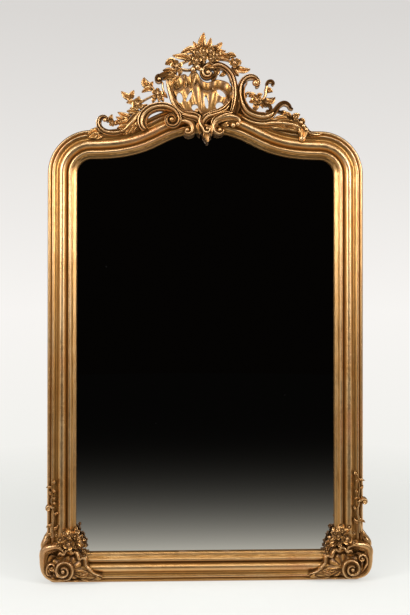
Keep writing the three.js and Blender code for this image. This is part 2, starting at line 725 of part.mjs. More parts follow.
const crestConsole = crestCarving('crest_console', 0, CONSOLE_BACK, CONSOLE_RELIEF)
  .scroll([[-32, -34], [-18, -44], [-4, -66], [0, -92]], [8, 14, 18, 15])
  .scroll([[-6, -54], [16, -42], [50, -33], [84, -20]], [8, 6, 6, 5], { relief: CONSOLE_ARM_RELIEF })
  .leaf([[-2, -74], [2, -104], [5, -131]], 15, { relief: CONSOLE_TIP_RELIEF })
  .leaf([[-6, -84], [-16, -102], [-24, -118]], 8, { relief: CONSOLE_TIP_RELIEF })
  .boss([-32, -27], 8, { relief: CONSOLE_CURL_RELIEF })
  .boss([-3, -82], 20);

const crestBlossoms = crestCarving('crest_blossoms', 0, BLOSSOM_BACK, BLOSSOM_RELIEF)
  .scroll([[-42, 98], [-40, 124], [-28, 148], [-10, 166], [18, 164]], [7, 8, 9, 8], {
    relief: BLOSSOM_STEM_RELIEF,
  })
  .flower([-33, 139], 15)
  .flower([-30, 172], 14)
  .flower([-8, 166], 15)
  .flower([16, 172], 14)
  .flower([34, 158], 13)
  .boss([-46, 112], 9);

// ---------------------------------------------------------------- bottom corners and side sprays

// what differs between the two hand-cut corners: points are inwards of the frame's
// outer edge and above its foot
const CORNERS = {
  left: {
    side: 1,
    bulge: 19,
    volute: [60, 52],
    curl: [20, 56],
    flowers: [[83, 142, 22], [54, 162, 15], [108, 172, 14], [128, 154, 14], [140, 128, 12]],
    mass: [
      [42, 124], [36, 150], [42, 180], [66, 190], [84, 172], [106, 188], [124, 178], [140, 160],
      [150, 138], [152, 112], [128, 106], [86, 116],
    ],
    ball: [7, 254, 14],
    stem: [[36, 346], [30, 312], [34, 284], [30, 256], [42, 222], [50, 186], [60, 158]],
    tips: [[-3, 325], [-3, 188]],
  },
  right: {
    side: -1,
    bulge: 27,
    volute: [44, 49],
    curl: [8, 86],
    flowers: [[60, 153, 22], [60, 186, 11], [98, 162, 17], [120, 138, 14], [130, 114, 12]],
    mass: [
      [40, 126], [34, 156], [46, 190], [66, 198], [86, 186], [106, 180], [118, 164], [134, 146],
      [144, 120], [134, 102], [106, 108], [70, 118],
    ],
    ball: [-2, 270, 15],
    stem: [[24, 372], [16, 342], [18, 312], [16, 284], [28, 252], [32, 216], [46, 176]],
    tips: [[-5, 343], [-5, 199]],
  },
};

function cornerCarvings(label, corner) {
  const seat = [-corner.side * HALF_WIDTH, 0];
  const { side, bulge } = corner;
  const carving = (name, back, relief) => new Carving(`${name}_${label}`, { seat, back, relief, side });
  const low = CORNER_LIFT;

  const shell = carving('corner_shell', CREST_BACK - GAP, CORNER_SHELL_RELIEF)
    .field([
      [4 - bulge, 60], [6 - bulge, 104], [14, 132], [42, 122], [66, 116], [90, 117], [112, 106],
      [124, 84], [138, 62], [154, 46], [172, 32], [184, 20], [176, low], [100, low], [40, low],
      [22 - bulge / 2, 20],
    ]);

  const leaf = carving('corner_leaf', -BEAD_FRONT, CORNER_LEAF_RELIEF)
    .leaf([[112, 56], [140, 34], [178, 22]], 11)
    .leaf([[120, 44], [134, 24], [150, low + 6]], 9);

  const spray = carving('side_spray', SPRAY_BACK, SPRAY_RELIEF)
    .scroll(corner.stem, [5, 8, 9, 8, 10, 10])
    .scroll([[corner.ball[0] + 4, corner.ball[1]], corner.stem[3]], [8, 8])
    .leaf([corner.stem[2], corner.stem[1], corner.tips[0]], 8)
    .leaf([corner.stem[4], corner.stem[5], corner.tips[1]], 8)
    .boss(corner.ball.slice(0, 2), corner.ball[2]);

  const rim = carving('corner_rim', RIM_BACK, RIM_RELIEF)
    .scroll(
      [
        [54, 116], [34, 130], [12, 130], [10 - bulge, 114], [8 - bulge, 86], [9 - bulge, 60],
        [16 - bulge, 38], [34 - bulge, 22], [60 - bulge, low + 9], [84 - bulge, low + 9],
      ],
      [5, 8, 9, 9, 9, 9, 9, 8, 7],
    )
    .boss(corner.curl, 12)
    .scroll([corner.curl, [corner.curl[0] - 4, corner.curl[1] - 22], [26 - bulge, 34]], [6, 5, 5]);

  const flowers = carving('corner_flowers', CORNER_FLOWER_BACK, CORNER_FLOWER_RELIEF)
    .field(corner.mass, [], { relief: CORNER_MASS_RELIEF });
  for (const [a, b, radius] of corner.flowers) flowers.flower([a, b], radius);

  const volute = carving('corner_volute', CORNER_VOLUTE_BACK, CORNER_VOLUTE_RELIEF)
    .boss(corner.volute, CORNER_VOLUTE_RADIUS)
    .boss(corner.volute, CORNER_EYE_RADIUS, { relief: CORNER_EYE_RELIEF });

  return [shell, leaf, spray, rim, flowers, volute];
}

// ---------------------------------------------------------------- the carving, rear to front

const carvings = [
  crestShell,
  crestLeavesTop,
  crestLeavesLeft,
  crestLeavesRight,
  crestSprayLeft,
  crestTwigRight,
  crestSprayRight,
  crestRimLeft,
  crestAcanthusLeft,
  crestAcanthusRight,
  outerScroll,
  shoulderLeafLeft,
  shoulderLeafRight,
  crestScrollRightLarge,
  crestScrollTop,
  crestVoluteLeft,
  crestScrollLeftSmall,
  crestScrollRightSmall,
  crestConsole,
  crestBlossoms,
  ...Object.entries(CORNERS).flatMap(([label, corner]) => cornerCarvings(label, corner)),
];

function boxesMeet(a, b) {
  const boxA = a.boundingBox();
  const boxB = b.boundingBox();
  return [0, 1, 2].every((axis) => {
    return boxA.min[axis] <= boxB.max[axis] && boxB.min[axis] <= boxA.max[axis];
  });
}

/** Each carving less the moulding and less what lies in front of it. */
function fittedCarvings() {
  const shadows = carvings.map((carving) => carving.shadow());
  return carvings.map((carving, i) => {
    let solid = carving.solid();
    if (boxesMeet(solid, mouldingSpace)) solid = solid.subtract(mouldingSpace);
    for (const shadow of shadows.slice(i + 1)) {
      if (boxesMeet(solid, shadow)) solid = solid.subtract(shadow);
    }
    return { name: carving.name, solid: mainBody(solid) };
  });
}

// ---------------------------------------------------------------- mirror plate, boards, blocks

const rebateEdge = MOULDING_WIDTH - REBATE_WIDTH;
const glassBack = GLASS_FRONT + GLASS_THICK;
const boardFront = FRAME_BACK - BOARD_SETBACK - BOARD_THICK;
const boardBack = FRAME_BACK - BOARD_SETBACK;

const mirrorPlate = slab(ring(rebateEdge + GLASS_PLAY), GLASS_FRONT, glassBack);

function backBoards() {
  const opening = slab(ring(rebateEdge + GAP), boardFront, boardBack);
  const top = archPoint(1, rebateEdge)[1];
  const pitch = (top - rebateEdge) / BOARD_COUNT;
  return Array.from({ length: BOARD_COUNT }, (_, i) => {
    const low = rebateEdge + pitch * i + BOARD_JOINT / 2;
    const high = rebateEdge + pitch * (i + 1) - BOARD_JOINT / 2;
    const slice = box(-HALF_WIDTH, HALF_WIDTH, boardFront - 1, boardBack + 1, low, high);
    return { name: `back_board_${i + 1}`, solid: opening.intersect(slice) };
  });
}

function glazingBlocks() {
  const front = glassBack + GAP;
  const back = boardFront - GAP;
  const inner = HALF_WIDTH - rebateEdge - GAP;
  const low = rebateEdge + GAP;
  const half = BLOCK_LENGTH / 2;
  const sideHeight = SPRING_HEIGHT - BLOCK_PLACE;
  return [-1, 1].flatMap((side) => {
    const label = side < 0 ? 'left' : 'right';
    const foot = side * BLOCK_PLACE;
    const wall = side * inner;
    const toe = side * (inner - BLOCK_WIDTH);
    const [x0, x1] = [Math.min(wall, toe), Math.max(wall, toe)];
    return [
      {
        name: `glazing_block_foot_${label}`,
        solid: box(foot - half, foot + half, front, back, low, low + BLOCK_WIDTH),
      },
      {
        name: `glazing_block_side_${label}`,
        solid: box(x0, x1, front, back, sideHeight - half, sideHeight + half),
      },
    ];
  });
}

// ---------------------------------------------------------------- hanging plates and rings

const knuckleRadius = RING_ROD / 2 + KNUCKLE_PLAY + KNUCKLE_WALL;
const plateFront = FRAME_BACK + GAP;
const plateBack = plateFront + PLATE_THICK;
const hingeY = plateFront + knuckleRadius;
const hangerX = HALF_WIDTH - rebateEdge / 2;
const screwHeights = [PLATE_SCREW_EDGE, PLATE_SCREW_EDGE + PLATE_SCREW_PITCH].map(
  (fromTop) => HANGER_HEIGHT + PLATE_HEIGHT - fromTop,
);

function hangerPlate(x) {
  const half = PLATE_WIDTH / 2;
  const top = HANGER_HEIGHT + PLATE_HEIGHT;
  const plate = box(x - half, x + half, plateFront, plateBack, HANGER_HEIGHT, top);
  const knuckle = KNUCKLE_WIDTH / 2;
  const barrel = barX(x - knuckle, x + knuckle, hingeY, HANGER_HEIGHT, knuckleRadius);
  const reach = PLATE_WIDTH;
  const bore = barX(x - reach, x + reach, hingeY, HANGER_HEIGHT, RING_ROD / 2 + KNUCKLE_PLAY);
  const holes = screwHeights.map((z) => {
    return barY(x, z, SCREW_SHANK / 2 + GAP, plateFront - 1, plateBack + 1);
  });
  const notch = joined([-1, 1].map((side) => {
    const inner = x + side * knuckle;
    const outer = x + side * reach;
    const low = HANGER_HEIGHT - RING_NOTCH_DOWN;
    const high = HANGER_HEIGHT + RING_NOTCH_UP;
    return box(Math.min(inner, outer), Math.max(inner, outer), plateFront - 1, hingeY, low, high);
  }));
  return joined([plate, barrel]).subtract(joined([bore, notch, ...holes]));
}

const ROD_SIDES = 8;
const RING_STEPS = 16;
const RING_SIDE_PULL = 0.6;        // of the bow's sides, which start straight down
const RING_FOOT_PULL = 0.55;       // of its round foot

/** A ring of round rod: a straight bar in the knuckle and a bow that hangs from it. */
function hangingRing(x) {
  const half = (RING_WIDTH - RING_ROD) / 2;
  const drop = RING_DROP - RING_ROD;
  const side = drop * RING_SIDE_PULL;
  const foot = half * RING_FOOT_PULL;
  const at = (dx, dz) => new THREE.Vector3(x + dx, hingeY, HANGER_HEIGHT + dz);
  const bend = (...points) => new THREE.CubicBezierCurve3(...points);
  const extrudePath = new THREE.CurvePath();
  extrudePath.add(bend(at(-half, 0), at(-half, -side), at(-foot, -drop), at(0, -drop)));
  extrudePath.add(bend(at(0, -drop), at(foot, -drop), at(half, -side), at(half, 0)));
  const round = new THREE.Shape();
  round.absarc(0, 0, RING_ROD / 2, 0, Math.PI * 2);
  const rod = new THREE.Shape(round.getSpacedPoints(ROD_SIDES).slice(0, ROD_SIDES));
  const settings = { steps: RING_STEPS, extrudePath, bevelEnabled: false };
  const geometry = new THREE.ExtrudeGeometry(rod, settings);
  const merged = mergeVertices(geometry.deleteAttribute('normal').deleteAttribute('uv'), 1e-4);
  const bow = solidOf(turnedOut(merged));
  const reach = half + RING_ROD / 2;
  const bar = barX(x - reach, x + reach, hingeY, HANGER_HEIGHT, RING_ROD / 2);
  return bar.add(bow);
}

function screw(x, z, seatY, length) {
  const shank = barY(x, z, SCREW_SHANK / 2, seatY - length, seatY + SCREW_HEAD_THICK / 2);
  const head = barY(x, z, SCREW_HEAD / 2, seatY, seatY + SCREW_HEAD_THICK);
  return shank.add(head);
}

function screwHole(x, z, from, depth) {
  return barY(x, z, SCREW_SHANK / 2 + GAP, from - depth, from + 1);
}

function hangerNodes() {
  return [['left', -1], ['right', 1]].flatMap(([label, side]) => {
    const x = side * hangerX;
    return [
      { name: `hanger_plate_${label}`, solid: hangerPlate(x), material: iron },
      { name: `hanging_ring_${label}`, solid: hangingRing(x), material: iron },
      ...screwHeights.map((z, i) => ({
        name: `hanger_screw_${label}_${i + 1}`,
        solid: screw(x, z, plateBack + GAP, PLATE_SCREW_LENGTH),
        material: iron,
      })),
    ];
  });
}

// ---------------------------------------------------------------- batten behind the crest

const battenFront = CREST_BACK + GAP;
const battenFoot = crown[1] - CREST_SEAT_DROP + GAP;
const battenTop = crown[1] + BATTEN_HEIGHT;
const battenScrews = [battenFoot + BATTEN_SCREW_EDGE, battenTop - BATTEN_SCREW_EDGE];

function crestBatten() {
  const half = BATTEN_WIDTH / 2;
  const [x0, x1] = [BATTEN_OFFSET - half, BATTEN_OFFSET + half];
  const block = box(x0, x1, battenFront, FRAME_BACK, battenFoot, battenTop);
  const depth = FRAME_BACK - battenFront + 1;
  const holes = battenScrews.map((z) => screwHole(BATTEN_OFFSET, z, FRAME_BACK, depth));
  return block.subtract(joined(holes));
}

// ---------------------------------------------------------------- assembly

function fittedMouldings() {
  return mouldings.map(({ name, solid }) => {
    const side = { stile_left: -1, stile_right: 1 }[name];
    if (side === undefined) return { name, solid };
    const depth = PLATE_SCREW_LENGTH;
    const holes = screwHeights.map((z) => screwHole(side * hangerX, z, FRAME_BACK, depth));
    return { name, solid: solid.subtract(joined(holes)) };
  });
}

/** The crest shell takes the points of the batten's screws. */
function boredForBatten(node) {
  if (node.name !== crestShell.name) return node;
  const holes = battenScrews.map((z) => screwHole(BATTEN_OFFSET, z, CREST_BACK, BATTEN_SCREW_BITE));
  return { ...node, solid: node.solid.subtract(joined(holes)) };
}

const battenScrewLength = FRAME_BACK - CREST_BACK + BATTEN_SCREW_BITE - SCREW_END_PLAY;

const nodes = [
  ...fittedMouldings().map((node) => ({ ...node, material: gilding })),
  ...fittedCarvings().map(boredForBatten).map((node) => ({ ...node, material: carvedGilding })),
  { name: 'mirror_plate', solid: mirrorPlate, material: silvered },
  ...backBoards().map((node) => ({ ...node, material: pine })),
  ...glazingBlocks().map((node) => ({ ...node, material: pine })),
  { name: 'crest_batten', solid: crestBatten(), material: pine },
  ...battenScrews.map((z, i) => ({
    name: `crest_batten_screw_${i + 1}`,
    solid: screw(BATTEN_OFFSET, z, FRAME_BACK + GAP, battenScrewLength),
    material: iron,
  })),
  ...hangerNodes(),
];

const mirror = new THREE.Group();
mirror.name = 'overmantel_mirror';
for (const { name, solid, material } of nodes) {
  const mesh = new THREE.Mesh(geometryOf(solid), material);
  mesh.name = name;
  mirror.add(mesh);
}

export default mirror;
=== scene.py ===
"""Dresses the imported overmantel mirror: carved and gilded woodwork, an old silvered
plate, a pine back and iron hanging gear, on a pale floor in soft studio light.

Drawn sizes are millimetres. A drawn point is (x, z): x right of the frame's centre line
and z above its foot. A depth is y, which is smaller towards the front. Every mesh is
built in metres in the row frame, with its object at the origin.
"""

from __future__ import annotations

import json
import logging
import math
from dataclasses import dataclass, field
from enum import Enum
from typing import Callable, Sequence

import bmesh
import bpy
from mathutils import Matrix, Vector

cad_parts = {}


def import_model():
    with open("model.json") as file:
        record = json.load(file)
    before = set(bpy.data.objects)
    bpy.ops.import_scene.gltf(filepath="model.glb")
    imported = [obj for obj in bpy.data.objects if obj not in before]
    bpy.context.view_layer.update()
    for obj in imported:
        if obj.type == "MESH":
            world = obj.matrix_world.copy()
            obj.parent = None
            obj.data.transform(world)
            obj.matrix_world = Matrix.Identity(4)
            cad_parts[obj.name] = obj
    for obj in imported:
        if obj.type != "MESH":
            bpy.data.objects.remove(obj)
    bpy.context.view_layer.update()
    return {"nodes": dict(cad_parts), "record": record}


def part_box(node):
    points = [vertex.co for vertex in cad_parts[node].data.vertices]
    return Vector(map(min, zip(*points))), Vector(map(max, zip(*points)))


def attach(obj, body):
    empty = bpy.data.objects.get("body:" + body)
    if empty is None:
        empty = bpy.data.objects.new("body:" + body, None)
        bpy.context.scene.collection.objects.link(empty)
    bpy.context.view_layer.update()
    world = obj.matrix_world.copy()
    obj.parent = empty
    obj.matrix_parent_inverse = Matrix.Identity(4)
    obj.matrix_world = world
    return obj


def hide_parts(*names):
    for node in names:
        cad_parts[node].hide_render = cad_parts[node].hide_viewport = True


LOG = logging.getLogger("overmantel_mirror")

MM = 0.001
FRAME_BODY = "frame"
RECESS = "recess"  # mesh attribute: 0 on high places, 1 in hollows, BARE on bare wood
BARE = 2.0
BOARD = "board"  # mesh attribute: tells one board's grain from the next, from 0 to 1

# how finely the meshes are cut
FINE_STEPS = 10  # steps between two drawn points of a smooth line
ROW_PITCH = 2.6  # millimetres between the rows of a band
FRONT_SHARE = 0.8  # share of a stroke's section that is its front
SECTION_COLUMNS = 30
LEAF_COLUMNS = 20
FAN_ROWS, FAN_COLUMNS = 60, 200
MEMBER_STEPS = 10  # steps across a broad member of the moulding
RING_PLACES = 132  # places on the drawn line of a ring, which overlaps itself
RING_LEAD = 12  # places left out at its start

# millimetres
LEAF_THICK = 4.0  # least thickness of a leaf
LAYER_STEP = 0.08  # between the backs of two strokes of one piece
NOTCH_HALF = 74.0  # half width of the crest's seat
FOOT_ROUND = 34.0  # radius of the bottom corners
FOOT_SPARE = 60.0  # how far the corners' cutters reach past the frame

MERGE = 0.00001  # metres between points that are one
TOUCH = 0.0001  # metres within which a point lies on a cut
ARRIS = math.radians(50)  # edges sharper than this are eased

Point = tuple[float, float]
Colour = tuple[float, float, float]


# ---------------------------------------------------------------- drawing tools


def blend(values: Sequence[float], share: float) -> float:
    """The value at a share of a list of evenly spaced values, eased between them.

    Args:
        values: One or more values.
        share: Where to read, from 0 to 1.

    Returns:
        The value there.
    """
    if len(values) == 1:
        return values[0]
    place = min(max(share, 0.0), 1.0) * (len(values) - 1)
    index = min(int(place), len(values) - 2)
    rest = place - index
    eased = rest * rest * (3 - 2 * rest)
    return values[index] + (values[index + 1] - values[index]) * eased


def blend_straight(values: Sequence[float], share: float) -> float:
    """The value at a share of a list of evenly spaced values, straight between them.

    Args:
        values: Two or more values.
        share: Where to read, from 0 to 1.

    Returns:
        The value there.
    """
    place = min(max(share, 0.0), 1.0) * (len(values) - 1)
    index = min(int(place), len(values) - 2)
    return values[index] + (values[index + 1] - values[index]) * (place - index)


def smooth_line(points: Sequence[Point], count: int) -> list[Vector]:
    """A smooth line through points, as evenly spaced places on it.

    Args:
        points: The points that the line passes through, in order.
        count: How many places to return.

    Returns:
        The places, from the first point to the last.
    """
    knots = [Vector(p) for p in points]
    first = knots[0] * 2 - knots[1]
    last = knots[-1] * 2 - knots[-2]
    knots = [first, *knots, last]
    dense = []
    for a, b, c, d in zip(knots, knots[1:], knots[2:], knots[3:]):
        for step in range(FINE_STEPS):
            t = step / FINE_STEPS
            dense.append(
                0.5
                * (
                    b * 2
                    + (c - a) * t
                    + (a * 2 - b * 5 + c * 4 - d) * t * t
                    + (b * 3 - a - c * 3 + d) * t * t * t
                )
            )
    dense.append(knots[-2])
    lengths = [0.0]
    for a, b in zip(dense, dense[1:]):
        lengths.append(lengths[-1] + (b - a).length)
    places, index = [], 0
    for step in range(count):
        goal = lengths[-1] * step / (count - 1)
        while index < len(dense) - 2 and lengths[index + 1] < goal:
            index += 1
        span = max(lengths[index + 1] - lengths[index], 1e-9)
        share = min(max((goal - lengths[index]) / span, 0.0), 1.0)
        places.append(dense[index].lerp(dense[index + 1], share))
    return places


def curl(centre: Point, radii: Point, start: float, turns: float) -> list[Point]:
    """Points of a spiral that winds into an eye.

    Args:
        centre: The eye's middle.
        radii: The spiral's first and last radius.
        start: Its first direction from the eye in degrees, counter-clockwise from +X.
        turns: How many turns it makes; below zero it winds clockwise.

    Returns:
        The points, outermost first.
    """
    steps = max(4, round(abs(turns) * 10))
    points = []
    for step in range(steps + 1):
        share = step / steps
        angle = math.radians(start + 360 * turns * share)
        radius = radii[0] + (radii[1] - radii[0]) * share**0.8
        points.append(
            (centre[0] + radius * math.cos(angle), centre[1] + radius * math.sin(angle))
        )
    return points


class Profile(Enum):
    """Cross-sections of the carver's strokes, as (across, height, recess) from the left
    edge to the right one. Across runs from -1 to 1 and height from 0 to 1."""

    CHANNEL = (
        (-1.0, 0.0, 1.0),
        (-1.0, 0.55, 0.5),
        (-0.93, 0.86, 0.05),
        (-0.78, 1.0, 0.0),
        (-0.62, 0.88, 0.35),
        (-0.4, 0.68, 0.85),
        (0.0, 0.6, 0.6),
        (0.4, 0.68, 0.85),
        (0.62, 0.88, 0.35),
        (0.78, 1.0, 0.0),
        (0.93, 0.86, 0.05),
        (1.0, 0.55, 0.5),
        (1.0, 0.0, 1.0),
    )
    REEDED = (
        (-1.0, 0.0, 1.0),
        (-1.0, 0.5, 0.4),
        (-0.93, 0.76, 0.0),
        (-0.8, 0.84, 0.0),
        (-0.68, 0.7, 0.7),
        (-0.58, 0.66, 1.0),
        (-0.44, 0.84, 0.3),
        (-0.2, 1.0, 0.0),
        (0.05, 1.0, 0.0),
        (0.3, 0.84, 0.3),
        (0.42, 0.68, 1.0),
        (0.54, 0.74, 0.6),
        (0.68, 0.86, 0.0),
        (0.84, 0.82, 0.0),
        (0.96, 0.5, 0.4),
        (1.0, 0.0, 1.0),
    )
    ROLL = (
        (-1.0, 0.0, 1.0),
        (-0.97, 0.45, 0.6),
        (-0.8, 0.78, 0.2),
        (-0.45, 0.96, 0.0),
        (0.0, 1.0, 0.0),
        (0.45, 0.96, 0.0),
        (0.8, 0.78, 0.2),
        (0.97, 0.45, 0.6),
        (1.0, 0.0, 1.0),
    )
    BROAD = (
        (-1.0, 0.0, 1.0),
        (-1.0, 0.5, 0.5),
        (-0.94, 0.8, 0.1),
        (-0.8, 0.94, 0.0),
        (-0.5, 1.0, 0.0),
        (-0.15, 0.99, 0.0),
        (0.15, 0.92, 0.1),
        (0.36, 0.82, 0.55),
        (0.5, 0.82, 0.5),
        (0.66, 0.92, 0.0),
        (0.84, 0.86, 0.0),
        (0.97, 0.5, 0.4),
        (1.0, 0.0, 1.0),
    )

    def at(self, share: float) -> tuple[float, float, float]:
        """The section's across, height and recess at a share of its front."""
        knots = self.value
        return tuple(blend_straight([k[i] for k in knots], share) for i in range(3))


# ---------------------------------------------------------------- finishes


@dataclass(frozen=True)
class Gilding:
    """Gold leaf on red bole over carved wood, with a brown glaze in the recesses and
    bare wood behind. Its colour also holds painted light: painted shade from ambient
    occlusion in hollows and between pieces, painted shade towards the bottom, and a
    paler gold on high places as a painted highlight."""

    name: str
    leaf: Colour = (0.74, 0.35, 0.080)
    pale: Colour = (0.86, 0.48, 0.15)
    painted_highlight_gold: Colour = (0.90, 0.62, 0.34)
    wood: Colour = (0.35, 0.205, 0.100)
    old_wood: Colour = (0.22, 0.120, 0.054)
    bole: Colour = (0.52, 0.18, 0.065)
    glaze_and_shade_colour: Colour = (0.110, 0.042, 0.005)
    roughness: tuple[float, float] = (0.30, 0.48)
    glaze_and_shade_strength: float = 0.92
    glaze_and_shade_metal: float = 0.45
    size_coat: float = 0.4
    wear: float = 0.45
    shade_reach: float = 0.014
    # strength of the painted shade that darkens the gilding towards the bottom
    bottom_shade: float = 0.42
    relief: float = 0.0004

    def material(self) -> bpy.types.Material:
        """Builds the node material.

        Returns:
            The material, which reads the recess attribute where a mesh has one.
        """
        graph = Graph(bpy.data.materials.new(self.name))
        place = graph.node("ShaderNodeTexCoord").outputs["Object"]
        axes = graph.node("ShaderNodeSeparateXYZ")
        graph.link(place, axes.inputs["Vector"])
        # painted shade: the gilding darkens towards the bottom of the frame, over its lowest half
        # metre
        painted_bottom_shade = graph.ramp(axes.outputs["Z"], [(0.0, self.bottom_shade), (0.5, 0.0)])
        mottle = graph.noise(place, 9.0, 5.0, 0.6)
        grain = graph.noise(place, 70.0, 4.0, 0.65)
        fine = graph.noise(place, 420.0, 3.0, 0.6)
        recess = graph.node("ShaderNodeAttribute", attribute_name=RECESS).outputs["Fac"]
        # ambient occlusion: painted shade in hollows and between pieces, which joins the recess
        # glaze below
        hollow = graph.node("ShaderNodeAmbientOcclusion", samples=8)
        hollow.inputs["Distance"].default_value = self.shade_reach
        shade = graph.ramp(hollow.outputs["AO"], [(0.45, 1.0), (0.92, 0.0)])
        bare = graph.ramp(recess, [(1.2, 0.0), (1.6, 1.0)])
        depth = graph.math("MAXIMUM", graph.math("MINIMUM", recess, 1.0), shade)
        broken = graph.math("MULTIPLY", grain, 0.55)
        glaze_and_shade_amount = graph.math("MULTIPLY_ADD", depth, 1.3, graph.math("SUBTRACT", broken, 0.45))
        glaze_and_shade_mask = graph.ramp(glaze_and_shade_amount, [(0.10, 0.0), (0.85, 1.0)])
        glaze_and_shade_mask = graph.math("MULTIPLY", glaze_and_shade_mask, self.glaze_and_shade_strength)
        tone = graph.mix(graph.ramp(mottle, [(0.35, 0.0), (0.7, 1.0)]), self.leaf, self.pale)
        # paler gold on high places, away from the glaze and the painted shade: a painted highlight
        high = graph.math("SUBTRACT", 1.0, depth)
        rise = graph.math("MULTIPLY", graph.ramp(high, [(0.72, 0.0), (1.0, 1.0)]),
                          graph.ramp(mottle, [(0.25, 0.3), (0.7, 0.95)]))
        tone = graph.mix(rise, tone, self.painted_highlight_gold)
        patches = graph.math("MULTIPLY", graph.noise(place, 5.0, 3.0, 0.6), high)
        rubbed = graph.ramp(graph.math("MULTIPLY", patches, fine), [(0.27, 0.0), (0.36, self.wear)])
        tone = graph.mix(rubbed, tone, self.bole)
        # brown glaze in the recesses, together with the painted shade of the occlusion
        tone = graph.mix(glaze_and_shade_mask, tone, self.glaze_and_shade_colour)
        tone = graph.mix(painted_bottom_shade, tone, self.glaze_and_shade_colour)
        streaks = graph.mix(graph.ramp(grain, [(0.3, 0.0), (0.7, 1.0)]), self.wood, self.old_wood)
        tone = graph.mix(bare, tone, streaks)
        shader = graph.surface()
        clean = graph.math("SUBTRACT", 1.0, bare)
        graph.link(graph.math("MULTIPLY", clean, self.size_coat), shader.inputs["Coat Weight"])
        shader.inputs["Coat Roughness"].default_value = 0.36
        shader.inputs["Coat IOR"].default_value = 1.5
        graph.link(tone, shader.inputs["Base Color"])
        dull = graph.math("MAXIMUM", glaze_and_shade_mask, rubbed)
        metal = graph.ramp(dull, [(0.0, 1.0), (1.0, self.glaze_and_shade_metal)])
        metal = graph.math("MULTIPLY", metal, clean)
        graph.link(metal, shader.inputs["Metallic"])
        dull = graph.math("MAXIMUM", dull, bare)
        low, high = self.roughness
        rough = graph.ramp(grain, [(0.3, low), (0.75, high)])
        graph.link(graph.math("MAXIMUM", rough, graph.math("MULTIPLY", dull, 0.62)),
                   shader.inputs["Roughness"])
        chisel = graph.noise(place, 190.0, 2.0, 0.5)
        graph.bump(shader, [(grain, self.relief), (chisel, self.relief * 0.8), (fine, 0.0002)])
        return graph.owner


@dataclass(frozen=True)
class SilveredGlass:
    """Old mirror glass: a clear reflection with a few specks in the silvering."""

    name: str = "silvered_glass"
    silver: Colour = (0.80, 0.81, 0.80)
    speck: Colour = (0.10, 0.095, 0.085)

    def material(self) -> bpy.types.Material:
        """Builds the node material.

        Returns:
            The material.
        """
        graph = Graph(bpy.data.materials.new(self.name))
        place = graph.node("ShaderNodeTexCoord").outputs["Object"]
        specks = graph.noise(place, 46.0, 2.0, 0.5)
        patches = graph.noise(place, 4.0, 3.0, 0.5)
        foxed = graph.ramp(
            graph.math("MULTIPLY", specks, graph.ramp(patches, [(0.4, 0.6), (0.7, 1.0)])),
            [(0.66, 0.0), (0.72, 0.55)],
        )
        shader = graph.surface()
        shader.inputs["Metallic"].default_value = 1.0
        graph.link(graph.mix(foxed, self.silver, self.speck), shader.inputs["Base Color"])
        graph.link(
            graph.math("MULTIPLY_ADD", foxed, 0.3, 0.015), shader.inputs["Roughness"]
        )
        return graph.owner


@dataclass(frozen=True)
class BareWood:
    """Old bare softwood with its grain along one axis."""

    name: str
    light: Colour = (0.40, 0.235, 0.115)
    dark: Colour = (0.19, 0.098, 0.042)
    nail: Colour = (0.050, 0.040, 0.034)
    stretch: tuple[float, float, float] = (1.0, 14.0, 14.0)

    def material(self) -> bpy.types.Material:
        """Builds the node material.

        Returns:
            The material.
        """
        graph = Graph(bpy.data.materials.new(self.name))
        place = graph.node("ShaderNodeTexCoord").outputs["Object"]
        board = graph.node("ShaderNodeAttribute", attribute_name=BOARD).outputs["Fac"]
        head = graph.node("ShaderNodeAttribute", attribute_name=RECESS).outputs["Fac"]
        head = graph.ramp(head, [(0.4, 0.0), (0.6, 1.0)])
        mapping = graph.node("ShaderNodeMapping")
        graph.link(place, mapping.inputs["Vector"])
        mapping.inputs["Scale"].default_value = self.stretch
        moved = graph.node("ShaderNodeVectorMath", operation="MULTIPLY_ADD")
        graph.link(board, moved.inputs[0])
        moved.inputs[1].default_value = (31.0, 17.0, 53.0)
        graph.link(mapping.outputs["Vector"], moved.inputs[2])
        along = moved.outputs["Vector"]
        figure = graph.noise(along, 3.0, 4.0, 0.6, 1.6)
        rings = graph.math("SINE", graph.math("MULTIPLY", figure, 60.0))
        pores = graph.noise(along, 60.0, 3.0, 0.6)
        stain = graph.noise(place, 3.0, 4.0, 0.6)
        shader = graph.surface()
        tone = graph.mix(graph.ramp(rings, [(-0.2, 0.0), (1.0, 0.7)]), self.light, self.dark)
        tone = graph.mix(graph.math("MULTIPLY", board, 0.45), tone, self.dark)
        tone = graph.mix(graph.ramp(stain, [(0.45, 0.0), (0.75, 0.6)]), tone, self.dark)
        tone = graph.mix(graph.ramp(pores, [(0.6, 0.0), (0.75, 0.5)]), tone, self.dark)
        graph.link(graph.mix(head, tone, self.nail), shader.inputs["Base Color"])
        graph.link(graph.ramp(figure, [(0.3, 0.62), (0.7, 0.82)]), shader.inputs["Roughness"])
        graph.link(graph.math("MULTIPLY", head, 0.7), shader.inputs["Metallic"])
        graph.bump(shader, [(rings, 0.0002), (pores, 0.0003)])
        return graph.owner


@dataclass(frozen=True)
class DarkIron:
    """Forged iron with an oiled dark skin and a little rust."""

    name: str = "dark_iron"
    skin: Colour = (0.072, 0.068, 0.064)
    rust: Colour = (0.16, 0.070, 0.030)

    def material(self) -> bpy.types.Material:
        """Builds the node material.

        Returns:
            The material.
        """
        graph = Graph(bpy.data.materials.new(self.name))
        place = graph.node("ShaderNodeTexCoord").outputs["Object"]
        cloud = graph.noise(place, 120.0, 4.0, 0.6)
        grit = graph.noise(place, 900.0, 2.0, 0.6)
        rusty = graph.ramp(cloud, [(0.5, 0.0), (0.7, 0.75)])
        shader = graph.surface()
        graph.link(graph.mix(rusty, self.skin, self.rust), shader.inputs["Base Color"])
        graph.link(graph.ramp(rusty, [(0.0, 0.85), (1.0, 0.1)]), shader.inputs["Metallic"])
        graph.link(graph.ramp(cloud, [(0.3, 0.4), (0.7, 0.7)]), shader.inputs["Roughness"])
        graph.bump(shader, [(grit, 0.0002)])
        return graph.owner


